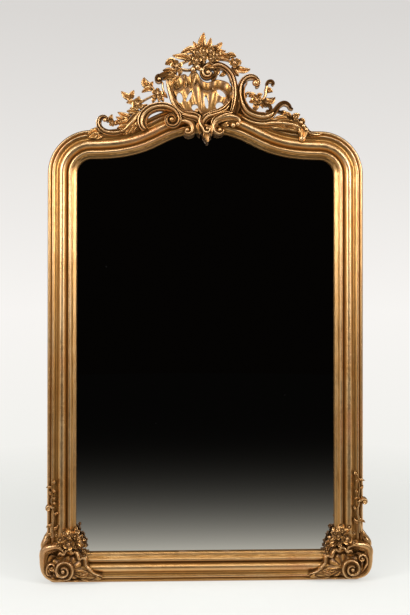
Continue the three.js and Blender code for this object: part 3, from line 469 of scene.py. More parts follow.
class Graph:
    """A material's or a world's node tree, with short ways to add to it."""

    def __init__(self, owner: bpy.types.ID) -> None:
        """Empties a node tree to build in it.

        Args:
            owner: The material or the world.
        """
        owner.use_nodes = True
        self.owner = owner
        self.tree = owner.node_tree
        self.tree.nodes.clear()

    def node(self, kind: str, **settings: object) -> bpy.types.Node:
        """Adds a node.

        Args:
            kind: Its type.
            settings: Its plain properties.

        Returns:
            The node.
        """
        made = self.tree.nodes.new(kind)
        for key, value in settings.items():
            setattr(made, key, value)
        return made

    def link(self, source: bpy.types.NodeSocket, target: bpy.types.NodeSocket) -> None:
        """Joins two sockets."""
        self.tree.links.new(source, target)

    def feed(self, value: object, socket: bpy.types.NodeSocket) -> None:
        """Gives a socket a link or a constant, whichever the value is."""
        if isinstance(value, bpy.types.NodeSocket):
            self.link(value, socket)
        elif isinstance(value, tuple):
            socket.default_value = (*value, 1.0)
        else:
            socket.default_value = value

    def noise(
        self,
        place: bpy.types.NodeSocket,
        scale: float,
        detail: float,
        roughness: float,
        distortion: float = 0.0,
    ) -> bpy.types.NodeSocket:
        """Adds a noise texture.

        Args:
            place: The coordinates that it reads.
            scale: Its scale, in features to the metre.
            detail: Its octaves.
            roughness: How strong the finer octaves are.
            distortion: How far it is pulled about.

        Returns:
            The texture's value, from 0 to 1.
        """
        made = self.node("ShaderNodeTexNoise")
        self.link(place, made.inputs["Vector"])
        for key, value in {
            "Scale": scale,
            "Detail": detail,
            "Roughness": roughness,
            "Distortion": distortion,
        }.items():
            made.inputs[key].default_value = value
        return made.outputs["Fac"]

    def math(self, operation: str, *values: object) -> bpy.types.NodeSocket:
        """Adds a math node.

        Args:
            operation: What it does.
            values: The numbers or sockets that it works on.

        Returns:
            Its result.
        """
        made = self.node("ShaderNodeMath", operation=operation)
        for value, socket in zip(values, made.inputs):
            self.feed(value, socket)
        return made.outputs[0]

    def ramp(
        self, value: bpy.types.NodeSocket, ends: Sequence[tuple[float, float]]
    ) -> bpy.types.NodeSocket:
        """Maps a value from one range to another, and holds it there.

        Args:
            value: What to map.
            ends: Two pairs of a value and what it becomes.

        Returns:
            The mapped value.
        """
        made = self.node("ShaderNodeMapRange", clamp=True)
        self.link(value, made.inputs["Value"])
        (low, first), (high, last) = ends
        for key, number in {
            "From Min": low,
            "From Max": high,
            "To Min": first,
            "To Max": last,
        }.items():
            made.inputs[key].default_value = number
        return made.outputs["Result"]

    def mix(self, share: object, first: object, second: object) -> bpy.types.NodeSocket:
        """Mixes two colours.

        Args:
            share: How much of the second one, from 0 to 1.
            first: A colour or a socket.
            second: A colour or a socket.

        Returns:
            The mixture.
        """
        made = self.node("ShaderNodeMix", data_type="RGBA")
        self.feed(share, made.inputs["Factor"])
        self.feed(first, made.inputs["A"])
        self.feed(second, made.inputs["B"])
        return made.outputs["Result"]

    def surface(self) -> bpy.types.Node:
        """Adds the surface shader and the output.

        Returns:
            The shader.
        """
        shader = self.node("ShaderNodeBsdfPrincipled")
        output = self.node("ShaderNodeOutputMaterial")
        self.link(shader.outputs["BSDF"], output.inputs["Surface"])
        return shader

    def bump(
        self,
        shader: bpy.types.Node,
        layers: Sequence[tuple[bpy.types.NodeSocket, float]],
    ) -> None:
        """Raises the surface by layers of texture.

        Args:
            shader: The surface shader.
            layers: Pairs of a texture value and its height in metres.
        """
        normal = None
        for value, height in layers:
            made = self.node("ShaderNodeBump")
            made.inputs["Strength"].default_value = 1.0
            made.inputs["Distance"].default_value = height
            self.link(value, made.inputs["Height"])
            if normal is not None:
                self.link(normal, made.inputs["Normal"])
            normal = made.outputs["Normal"]
        self.link(normal, shader.inputs["Normal"])


# ---------------------------------------------------------------- the carver's kit


@dataclass
class Carving:
    """One carved piece, cut stroke by stroke in the depth of the solid it stands for."""

    name: str
    nodes: tuple[str, ...]
    origin: Point = (0.0, 0.0)
    side: int = 1
    sunk: float = 0.0
    slot: str = "gilded_carving"
    crease: float = 62.0
    back: float = field(init=False)
    depth: float = field(init=False)
    layer: float = field(init=False, default=0.0)
    mesh: bmesh.types.BMesh = field(init=False)

    def __post_init__(self) -> None:
        """Reads the back plane and the depth from the solids, and starts the mesh."""
        boxes = [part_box(node) for node in self.nodes]
        self.back = max(high.y for _, high in boxes) / MM + self.sunk
        self.depth = self.back - min(low.y for low, _ in boxes) / MM
        self.mesh = bmesh.new()
        self.mesh.verts.layers.float.new(RECESS)

    def spot(self, x: float, y: float, z: float) -> Vector:
        """The place in the row frame of a point drawn from the carving's own origin."""
        return Vector((self.origin[0] + self.side * x, y, self.origin[1] + z)) * MM

    def sheet(
        self,
        rows: int,
        columns: int,
        place: Callable[[float, float], tuple[Vector, float]],
        capped: bool = True,
    ) -> None:
        """Bends a grid into a closed stroke and adds it to the piece.

        Args:
            rows: Steps along the stroke.
            columns: Steps round its section.
            place: Gives the point in millimetres and the recess for a share along the
                stroke and a share round the section.
            capped: Whether open ends are closed with a flat face.
        """
        stroke = bmesh.new()
        recess = stroke.verts.layers.float.new(RECESS)
        bmesh.ops.create_grid(stroke, x_segments=rows, y_segments=columns, size=1.0)
        for vert in stroke.verts:
            point, low = place((vert.co.x + 1) / 2, (vert.co.y + 1) / 2)
            vert.co = self.spot(*point)
            vert[recess] = low
        bmesh.ops.remove_doubles(stroke, verts=stroke.verts, dist=0.00002)
        if capped:
            edges = [edge for edge in stroke.edges if edge.is_boundary]
            if edges:
                bmesh.ops.holes_fill(stroke, edges=edges, sides=0)
        bmesh.ops.recalc_face_normals(stroke, faces=stroke.faces)
        self.take(stroke)

    def next_layer(self) -> float:
        """Steps the back of each new stroke forward, so that no two share a plane."""
        self.layer += LAYER_STEP
        return self.layer

    def take(self, stroke: bmesh.types.BMesh) -> None:
        """Adds a finished stroke to the piece.

        Args:
            stroke: The stroke's mesh; it is freed.
        """
        holder = bpy.data.meshes.new("stroke")
        stroke.to_mesh(holder)
        stroke.free()
        self.mesh.from_mesh(holder)
        bpy.data.meshes.remove(holder)

    def band(
        self,
        line: Sequence[Point],
        widths: Sequence[float],
        heights: Sequence[float] = (1.0,),
        profile: Profile = Profile.CHANNEL,
        rows: int = 0,
        lift: Sequence[float] = (0.0,),
        thick: float = 0.0,
    ) -> None:
        """Carves a band along a line.

        Args:
            line: The points of its middle line.
            widths: Half widths along it.
            heights: Relief along it, as shares of the piece's depth.
            profile: Its cross-section.
            rows: Steps along it, or 0 for one about every 3 mm.
            lift: How far its back stands off the piece's back, as shares of the depth.
            thick: Least thickness of the wood behind its hollows, in millimetres; 0
                leaves a flat back.
        """
        length = sum((Vector(a) - Vector(b)).length for a, b in zip(line, line[1:]))
        rows = rows or max(8, min(90, round(length / ROW_PITCH)))
        path = smooth_line(line, rows + 3)
        front = FRONT_SHARE
        layer = self.next_layer()

        def place(along: float, around: float) -> tuple[Vector, float]:
            """The point and the recess of the band at two shares."""
            index = min(int(along * rows + 0.5), rows)
            here = path[index + 1]
            run = (path[index + 2] - path[index]).normalized()
            share = (index + 1) / (rows + 2)
            width = blend(widths, share)
            rise = blend(heights, share) * self.depth
            seat = blend(lift, share) * self.depth
            if around <= front:
                across, height, low = profile.at(around / front)
            else:
                rest = (around - front) / (1 - front)
                across, height, low = 1 - 2 * rest, 0.0, BARE
                if thick:
                    seat = max(seat, rise * 0.5 - thick)
            end = min(index, rows - index)
            if end == 0:
                width, rise = width * 0.55, rise * 0.8
            out = self.back - layer - seat - height * (rise - seat)
            side = Vector((-run.y, run.x)) * (across * width)
            return Vector((here.x + side.x, out, here.y + side.y)), low

        self.sheet(rows, SECTION_COLUMNS, place)

    def scroll(
        self,
        line: Sequence[Point],
        eye: tuple[Point, float, float, float],
        widths: Sequence[float],
        heights: Sequence[float] = (0.8, 1.0),
        profile: Profile = Profile.REEDED,
        eye_size: float = 0.0,
    ) -> None:
        """Carves a band that winds into an eye with a ball in its middle.

        Args:
            line: The points of the band before its spiral.
            eye: The eye's middle, the spiral's radius where the band meets it, its
                direction there in degrees, and its turns, below zero for clockwise.
            widths: Half widths along the whole band.
            heights: Relief along the whole band, as shares of the piece's depth.
            profile: The cross-section.
            eye_size: Radius of the ball, or 0 for one that fills the eye.
        """
        middle, radius, start, turns = eye
        last = radius * 0.28
        points = [*line, *curl(middle, (radius, last), start, turns)]
        self.band(points, widths, heights, profile)
        self.ball(middle, eye_size or last + widths[-1] * 0.6, heights[-1] * 1.02)

    def leaf(
        self,
        line: Sequence[Point],
        width: float,
        heights: Sequence[float] = (0.5, 0.85, 0.7),
        lobes: int = 0,
        cup: float = 0.25,
        rows: int = 18,
    ) -> None:
        """Carves a leaf with a midrib, along a line from stalk to tip.

        Args:
            line: The points of its midrib.
            width: Its greatest half width.
            heights: Relief along it, as shares of the piece's depth.
            lobes: How many lobes each side has; 0 makes a plain pointed leaf.
            cup: How far the blade dips beside its midrib, as a share of its width.
            rows: Steps along it.
        """
        if lobes:
            rows = max(rows, lobes * 7)
        path = smooth_line(line, rows + 3)
        front = FRONT_SHARE
        thick = max(LEAF_THICK, width * 0.3)
        layer = self.next_layer()

        def place(along: float, around: float) -> tuple[Vector, float]:
            """The point and the recess of the leaf at two shares."""
            index = min(int(along * rows + 0.5), rows)
            share = index / rows
            here = path[index + 1]
            run = (path[index + 2] - path[index]).normalized()
            swell = math.sin(math.pi * min(share * 0.84 + 0.13, 1.0) ** 0.9) ** 0.75
            spread = width * 1.12 * max(swell, 0.05)
            if lobes:
                wave = abs(math.cos(math.pi * lobes * share))
                spread *= 0.62 + 0.38 * wave**0.8
            rise = blend(heights, share) * self.depth
            if around <= front:
                across = 2 * around / front - 1
                side = abs(across)
                rib = math.exp(-((side / 0.13) ** 2)) * 0.10
                dome = (1 - side**2) ** 0.5 if lobes else 1 - 0.75 * side**1.6
                dip = math.exp(-(((side - 0.34) / 0.2) ** 2))
                out = rise * (0.74 + 0.18 * dome + rib) - dip * cup * spread
                low = 0.75 * dip + 0.6 * max(0.0, side - 0.85) / 0.15
                if lobes:
                    vein = 0.5 + 0.5 * math.cos(
                        2 * math.pi * (lobes * share - 0.9 * side)
                    )
                    out -= (1 - vein) * side * spread * 0.16
                    low = max(low * 0.7, (1 - vein) * side * 0.9)
                forward = side * spread * 0.5
            else:
                rest = (around - front) / (1 - front)
                across = 1 - 2 * rest
                out = rise * 0.74 - thick * (1 - 0.4 * across**2)
                low, forward = BARE, abs(across) * spread * 0.5
            seat = self.back - max(out, layer)
            spot = here + Vector((-run.y, run.x)) * (across * spread)
            if 0.0 < share < 1.0:
                spot -= run * (forward * 0.35)
            return Vector((spot.x, seat, spot.y)), low

        self.sheet(rows, LEAF_COLUMNS, place)

    def ball(self, middle: Point, radius: float, height: float = 1.0) -> None:
        """Carves a round boss.

        Args:
            middle: Its middle.
            radius: Its radius.
            height: Its front, as a share of the piece's depth.
        """
        stroke = bmesh.new()
        recess = stroke.verts.layers.float.new(RECESS)
        bmesh.ops.create_uvsphere(stroke, u_segments=20, v_segments=12, radius=1.0)
        rise = height * self.depth
        deep = min(radius * 1.15, rise)
        for vert in stroke.verts:
            x, out, z = vert.co.x, vert.co.z, vert.co.y
            vert[recess] = min(1.0, max(0.0, 0.9 - out * 1.3))
            y = self.back - (rise - deep) - out * deep
            vert.co = self.spot(middle[0] + x * radius, y, middle[1] + z * radius)
        bmesh.ops.recalc_face_normals(stroke, faces=stroke.faces)
        self.take(stroke)

    def flower(
        self,
        middle: Point,
        radius: float,
        height: float = 1.0,
        petals: int = 5,
        turn: float = 0.0,
        thick: float = 0.0,
    ) -> None:
        """Carves a flower: cupped petals round a button.

        Args:
            middle: Its middle.
            radius: Reach of its petals.
            height: The button's front, as a share of the piece's depth.
            petals: How many petals it has.
            turn: Turn of the first petal in degrees.
            thick: Depth of the wood behind it; 0 takes half its radius.
        """
        rise = height * self.depth
        under = thick or radius * 0.7
        start = math.radians(turn)

        def place(along: float, around: float) -> tuple[Vector, float]:
            """The point and the recess of the petals at two shares."""
            angle = 2 * math.pi * around + start
            lobe = abs(math.cos(petals * (angle - start) / 2))
            reach = radius * (0.66 + 0.34 * lobe**0.55)
            if along <= 0.8:
                share = along / 0.8
                cup = math.sin(math.pi * min(share, 1.0)) ** 2
                out = rise - radius * (0.42 - 0.34 * share**1.6 + 0.24 * cup)
                out -= radius * 0.30 * (1 - lobe) ** 1.5 * share
                if share > 0.9:
                    out -= radius * 1.1 * (share - 0.9)
                low = min(0.85 * cup * 0.7 + (1 - lobe) ** 1.2 * share, 1.0)
                if share < 0.3:
                    low = 1.0
                spread = reach * share
            else:
                rest = (along - 0.8) / 0.2
                spread = reach * (1 - rest) ** 0.8
                out = rise - radius * 0.3 - under * rest**0.5
                low = BARE if rest > 0.4 else 1.0
            return (
                Vector(
                    (
                        middle[0] + spread * math.cos(angle),
                        self.back - max(out, 0.0),
                        middle[1] + spread * math.sin(angle),
                    )
                ),
                low,
            )

        self.sheet(16, petals * 10, place, capped=False)
        self.ball(middle, radius * 0.27, height)

    def fan(
        self,
        centre: Point,
        rim: Sequence[Point],
        flutes: int,
        fold: float,
        heights: tuple[float, float, float] = (0.55, 0.85, 0.95),
        spread: float = 0.0,
        flute: float = 0.11,
    ) -> None:
        """Carves a fluted shell that spreads from a centre to a wavy rim.

        Args:
            centre: Where the flutes meet.
            rim: Points of the rim, all the way round.
            flutes: How many flutes there are all round.
            fold: Share of the way out where the shell folds forward.
            heights: Relief at the centre, the belly and the rim.
            spread: How far along x the flutes start apart, as a share of the way out.
            flute: Depth of the flutes, as a share of the piece's depth.
        """
        line = smooth_line([*rim, rim[0]], FAN_COLUMNS + 1)
        middle = Vector(centre)
        low_height, belly, top = (share * self.depth for share in heights)

        def place(along: float, around: float) -> tuple[Vector, float]:
            """The point and the recess of the shell at two shares."""
            edge = line[round(around * FAN_COLUMNS) % FAN_COLUMNS]
            out_share = min(along / FRONT_SHARE, 1.0)
            wave = math.cos(2 * math.pi * flutes * around)
            if along > FRONT_SHARE:
                rest = (along - FRONT_SHARE) / (1 - FRONT_SHARE)
                spot = edge.lerp(middle, max(0.0, rest * 4 - 3))
                height = top * max(0.0, 1 - rest * 2) * 0.85
                return Vector((spot.x, self.back - height, spot.y)), BARE if height == 0 else 1.0
            away = edge - middle
            start = middle + Vector((away.x * spread, away.y * spread * 0.1))
            spot = start.lerp(edge, out_share)
            rise = low_height + (belly - low_height) * math.sin(
                math.pi * min(out_share / max(fold, 0.01), 1.0) * 0.62
            )
            crease = math.exp(-(((out_share - fold) / 0.06) ** 2))
            if out_share > fold:
                flare = (out_share - fold) / (1 - fold)
                rise += (top - rise) * flare**0.8
                rise -= 0.16 * self.depth * max(0.0, flare - 0.82) / 0.18
            rise -= crease * 0.22 * self.depth
            rise += wave * min(out_share * 1.6, 1.0) * flute * self.depth
            low = max(crease, (0.5 - 0.5 * wave) ** 1.2 * min(out_share * 2, 1.0) * 0.95)
            low = max(low, 0.7 * (1 - min(out_share / 0.4, 1.0)))
            low = 0.34 + 0.66 * low
            return Vector((spot.x, self.back - rise, spot.y)), low

        self.sheet(FAN_ROWS, FAN_COLUMNS, place)

    def pierce(self, cutter: bpy.types.Object) -> None:
        """Cuts shapes out of what is carved so far.

        Args:
            cutter: The closed shapes to cut with; it is removed.
        """
        holder = cutter_object(self.mesh)
        cut_away(holder, cutter, heal=True)
        self.mesh = bmesh.new()
        self.mesh.from_mesh(holder.data)
        bpy.data.objects.remove(holder)
        bpy.data.objects.remove(cutter)

    def finish(self, material: bpy.types.Material) -> bpy.types.Object:
        """Makes the piece's object and gives it its place in the model.

        Args:
            material: Its finish.

        Returns:
            The object.
        """
        return finish_piece(self.name, self.mesh, material, self.nodes, self.crease)


def finish_piece(
    name: str,
    mesh: bmesh.types.BMesh,
    material: bpy.types.Material,
    nodes: Sequence[str],
    crease: float = 30.0,
    body: str = FRAME_BODY,
) -> bpy.types.Object:
    """Turns a finished mesh into a piece that stands for its solids.

    Args:
        name: The piece's name.
        mesh: Its mesh, in metres in the row frame; it is freed.
        material: Its finish.
        nodes: The solids that it stands for.
        crease: Edges sharper than this, in degrees, stay sharp.
        body: The body that it rides on.

    Returns:
        The object.
    """
    data = bpy.data.meshes.new(name)
    mesh.to_mesh(data)
    mesh.free()
    for polygon in data.polygons:
        polygon.use_smooth = True
    data.set_sharp_from_angle(angle=math.radians(crease))
    data.materials.append(material)
    piece = bpy.data.objects.new(name, data)
    bpy.context.scene.collection.objects.link(piece)
    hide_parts(*nodes)
    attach(piece, body)
    LOG.info("%s: %d faces for %s", name, len(data.polygons), ", ".join(nodes))
    return piece


# ---------------------------------------------------------------- the moulding


@dataclass
class Moulding:
    """The frame's moulding, swept in its seven lengths along the outline."""

    members: tuple[tuple[float, float, float], ...] = (
        (13.0, 21.0, 0.62),  # bead: width, front, fullness
        (13.0, 25.0, 0.8),  # astragal
        (8.0, 21.0, -1.0),  # hollow
        (33.0, 33.5, 0.85),  # cushion
        (19.0, 27.0, 0.75),  # torus
        (10.0, 9.0, 0.0),  # lip
    )
    quirks: tuple[float, ...] = (13.0, 16.0, 21.5, 20.5, 16.5, 14.0, 9.0)
    width: float = 96.0
    lip_back: float = 4.0
    rebate: float = 9.0
    shoulder_radius: float = 149.0
    arch_rise: float = 90.6
    arch_hollow: float = 244.0
    arch_crown: float = 167.0
    spring: float = field(init=False)
    half: float = field(init=False)
    back: float = field(init=False)

    def __post_init__(self) -> None:
        """Reads the outline's main sizes from the solids."""
        low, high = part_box("shoulder_right")
        self.spring = round(low.z / MM)
        self.half = round(high.x / MM)
        self.back = high.y / MM

    def section(self) -> list[tuple[float, float, float]]:
        """The section's front and back.

        Returns:
            Points of distance from the outer edge, y and recess, round the section.
        """
        points = [(0.0, self.back - 1.5, 0.9), (0.0, -self.quirks[0] * 0.3, 0.5)]
        edge = 0.0
        for index, (width, front, fullness) in enumerate(self.members):
            first, last = self.quirks[index], self.quirks[index + 1]
            steps = MEMBER_STEPS if width > 12 else MEMBER_STEPS // 2
            for step in range(steps + 1):
                share = step / steps
                base = first + (last - first) * share
                if fullness < 0:
                    swell = math.sin(math.pi * share)
                    out, low = base + (front - 3 - base) * swell * 0.6, 0.35 + 0.3 * swell
                elif fullness == 0:
                    out, low = base, 0.15
                else:
                    swell = math.sin(math.pi * share) ** fullness
                    out = base + (front - base) * swell
                    low = (1 - swell) ** 1.4
                points.append((edge + width * share, -out, low))
            edge += width
        inner = self.width - self.rebate
        points += [
            (self.width, self.lip_back, 1.0),
            (inner, self.lip_back, 1.0),
            (inner, self.back - 1.0, BARE),
            (inner - 1.0, self.back, BARE),
            (1.5, self.back, BARE),
        ]
        return points

    def arch(self, share: float, inset: float) -> Vector:
        """A point of the right half of the arch, from the shoulder to the crown.

        Args:
            share: Where along it, from 0 to 1.
            inset: Distance from the outer edge.

        Returns:
            The point as (x, z).
        """
        sight = self.spring + self.shoulder_radius - self.width
        start = self.half - self.shoulder_radius
        a = Vector((start, sight))
        b = Vector((start - self.arch_hollow, sight))
        c = Vector((self.arch_crown, sight + self.arch_rise))
        d = Vector((0.0, sight + self.arch_rise))
        rest = 1 - share
        point = (
            a * rest**3
            + b * 3 * rest**2 * share
            + c * 3 * rest * share**2
            + d * share**3
        )
        run = ((b - a) * rest**2 + (c - b) * 2 * rest * share + (d - c) * share**2).normalized()
        out = self.width - inset
        return Vector((point.x + run.y * out, point.y - run.x * out))

    def shoulder(self, share: float, inset: float) -> Vector:
        """A point of the right shoulder, from the stile to the arch.

        Args:
            share: Where along it, from 0 to 1.
            inset: Distance from the outer edge.

        Returns:
            The point as (x, z).
        """
        angle = share * math.pi / 2
        radius = self.shoulder_radius - inset
        return Vector(
            (
                self.half - self.shoulder_radius + radius * math.cos(angle),
                self.spring + radius * math.sin(angle),
            )
        )

    def stile(self, share: float, inset: float) -> Vector:
        """A point of the right stile, from the foot's mitre to the shoulder."""
        return Vector((self.half - inset, inset + (self.spring - inset) * share))

    def rail(self, share: float, inset: float) -> Vector:
        """A point of the bottom rail, from the left mitre to the right one."""
        return Vector(((2 * share - 1) * (self.half - inset), inset))

    def run(
        self,
        name: str,
        steps: int,
        route: Callable[[float, float], Vector],
        side: int,
        material: bpy.types.Material,
        cutters: Sequence[bpy.types.Object] = (),
    ) -> None:
        """Sweeps one length of moulding.

        Args:
            name: The solid's name.
            steps: Steps along it.
            route: Gives (x, z) for a share along it and a distance from the outer edge.
            side: 1 on the right, -1 on the left.
            material: Its finish.
            cutters: What is cut away from it.
        """
        piece = Carving(f"{name}_gilt", (name,), slot="gilded_moulding", crease=80.0)
        section = self.section()
        section.append(section[0])

        def place(along: float, around: float) -> tuple[Vector, float]:
            """The point and the recess of the moulding at two shares."""
            inset, y, low = section[round(around * (len(section) - 1))]
            spot = route(along, inset)
            return Vector((side * spot.x, y, spot.y)), low

        piece.sheet(steps, len(section) - 1, place)
        made = piece.finish(material)
        for cutter in cutters:
            cut_away(made, cutter)
        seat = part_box("crest_batten")[0].z
        for vert, recess in zip(made.data.vertices, made.data.attributes[RECESS].data):
            x, y, z = vert.co
            notched = abs(abs(x) - NOTCH_HALF * MM) < TOUCH or abs(z - seat) < TOUCH
            if y > (self.back - 1.2) * MM or (notched and y > 0):
                recess.value = BARE

    def build(self, material: bpy.types.Material) -> None:
        """Builds the seven lengths.

        Args:
            material: Their finish.
        """
        notch = self.notch()
        feet = [self.foot_cutter(side) for side in (-1, 1)]
        self.run("bottom_rail", 24, self.rail, 1, material, feet)
        for side, label, foot in ((-1, "left", feet[0]), (1, "right", feet[1])):
            self.run(f"stile_{label}", 30, self.stile, side, material, [foot])
            self.run(f"shoulder_{label}", 22, self.shoulder, side, material)
            self.run(f"arch_{label}", 48, self.arch, side, material, [notch])
        for cutter in (notch, *feet):
            bpy.data.objects.remove(cutter)

    def notch(self) -> bpy.types.Object:
        """The block that cuts the crest's seat out of the crown.

        Returns:
            The cutter.
        """
        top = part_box("crest_shell")[1].z / MM
        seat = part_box("crest_batten")[0].z / MM
        return block_cutter((-NOTCH_HALF, NOTCH_HALF), (-200.0, 200.0), (seat, top))

    def foot_cutter(self, side: int) -> bpy.types.Object:
        """The shape that rounds a bottom corner.

        Args:
            side: -1 on the left, 1 on the right.

        Returns:
            The cutter, which leaves a quarter round of the corner's radius.
        """
        mesh = bmesh.new()
        corner = Vector((self.half, 0.0))
        centre = corner + Vector((-FOOT_ROUND, FOOT_ROUND))
        outline = [
            corner + Vector((FOOT_SPARE, -FOOT_SPARE)),
            corner + Vector((-FOOT_ROUND, -FOOT_SPARE)),
        ]
        outline += [
            centre + FOOT_ROUND * Vector((math.sin(a), -math.cos(a)))
            for a in (math.radians(7.5 * step) for step in range(13))
        ]
        outline.append(corner + Vector((FOOT_SPARE, FOOT_ROUND)))
        ring = [mesh.verts.new((side * p.x * MM, -0.1, p.y * MM)) for p in outline]
        face = mesh.faces.new(ring)
        grown = bmesh.ops.extrude_face_region(mesh, geom=[face])
        bmesh.ops.translate(
            mesh,
            vec=(0.0, 0.2, 0.0),
            verts=[v for v in grown["geom"] if isinstance(v, bmesh.types.BMVert)],
        )
        bmesh.ops.recalc_face_normals(mesh, faces=mesh.faces)
        return cutter_object(mesh)


def cutter_object(mesh: bmesh.types.BMesh) -> bpy.types.Object:
    """Makes a helper object of a mesh, to cut with.

    Args:
        mesh: The mesh; it is freed.

    Returns:
        The object.
    """
    data = bpy.data.meshes.new("cutter")
    mesh.to_mesh(data)
    mesh.free()
    made = bpy.data.objects.new("cutter", data)
    bpy.context.scene.collection.objects.link(made)
    return made


def block_cutter(
    x: tuple[float, float], y: tuple[float, float], z: tuple[float, float]
) -> bpy.types.Object:
    """A box to cut with.

    Args:
        x: Its range across, in millimetres.
        y: Its range from front to back.
        z: Its range upwards.

    Returns:
        The object.
    """
    mesh = bmesh.new()
    bmesh.ops.create_cube(mesh, size=1.0)
    size = Vector((x[1] - x[0], y[1] - y[0], z[1] - z[0])) * MM
    middle = Vector((x[1] + x[0], y[1] + y[0], z[1] + z[0])) * MM / 2
    bmesh.ops.scale(mesh, vec=size, verts=mesh.verts)
    bmesh.ops.translate(mesh, vec=middle, verts=mesh.verts)
    return cutter_object(mesh)


def cut_away(piece: bpy.types.Object, cutter: bpy.types.Object, heal: bool = False) -> None:
    """Cuts a shape out of a piece's mesh.

    Args:
        piece: The piece, whose mesh is replaced.
        cutter: The closed shape to cut with.
        heal: Whether the piece's own folds cross each other.
    """
    modifier = piece.modifiers.new("cut", "BOOLEAN")
    modifier.operation = "DIFFERENCE"
    modifier.solver = "EXACT"
    modifier.use_self = heal
    modifier.object = cutter
    graph = bpy.context.evaluated_depsgraph_get()
    shaped = bpy.data.meshes.new_from_object(piece.evaluated_get(graph))
    piece.modifiers.clear()
    piece.data = shaped


# ---------------------------------------------------------------- the crest


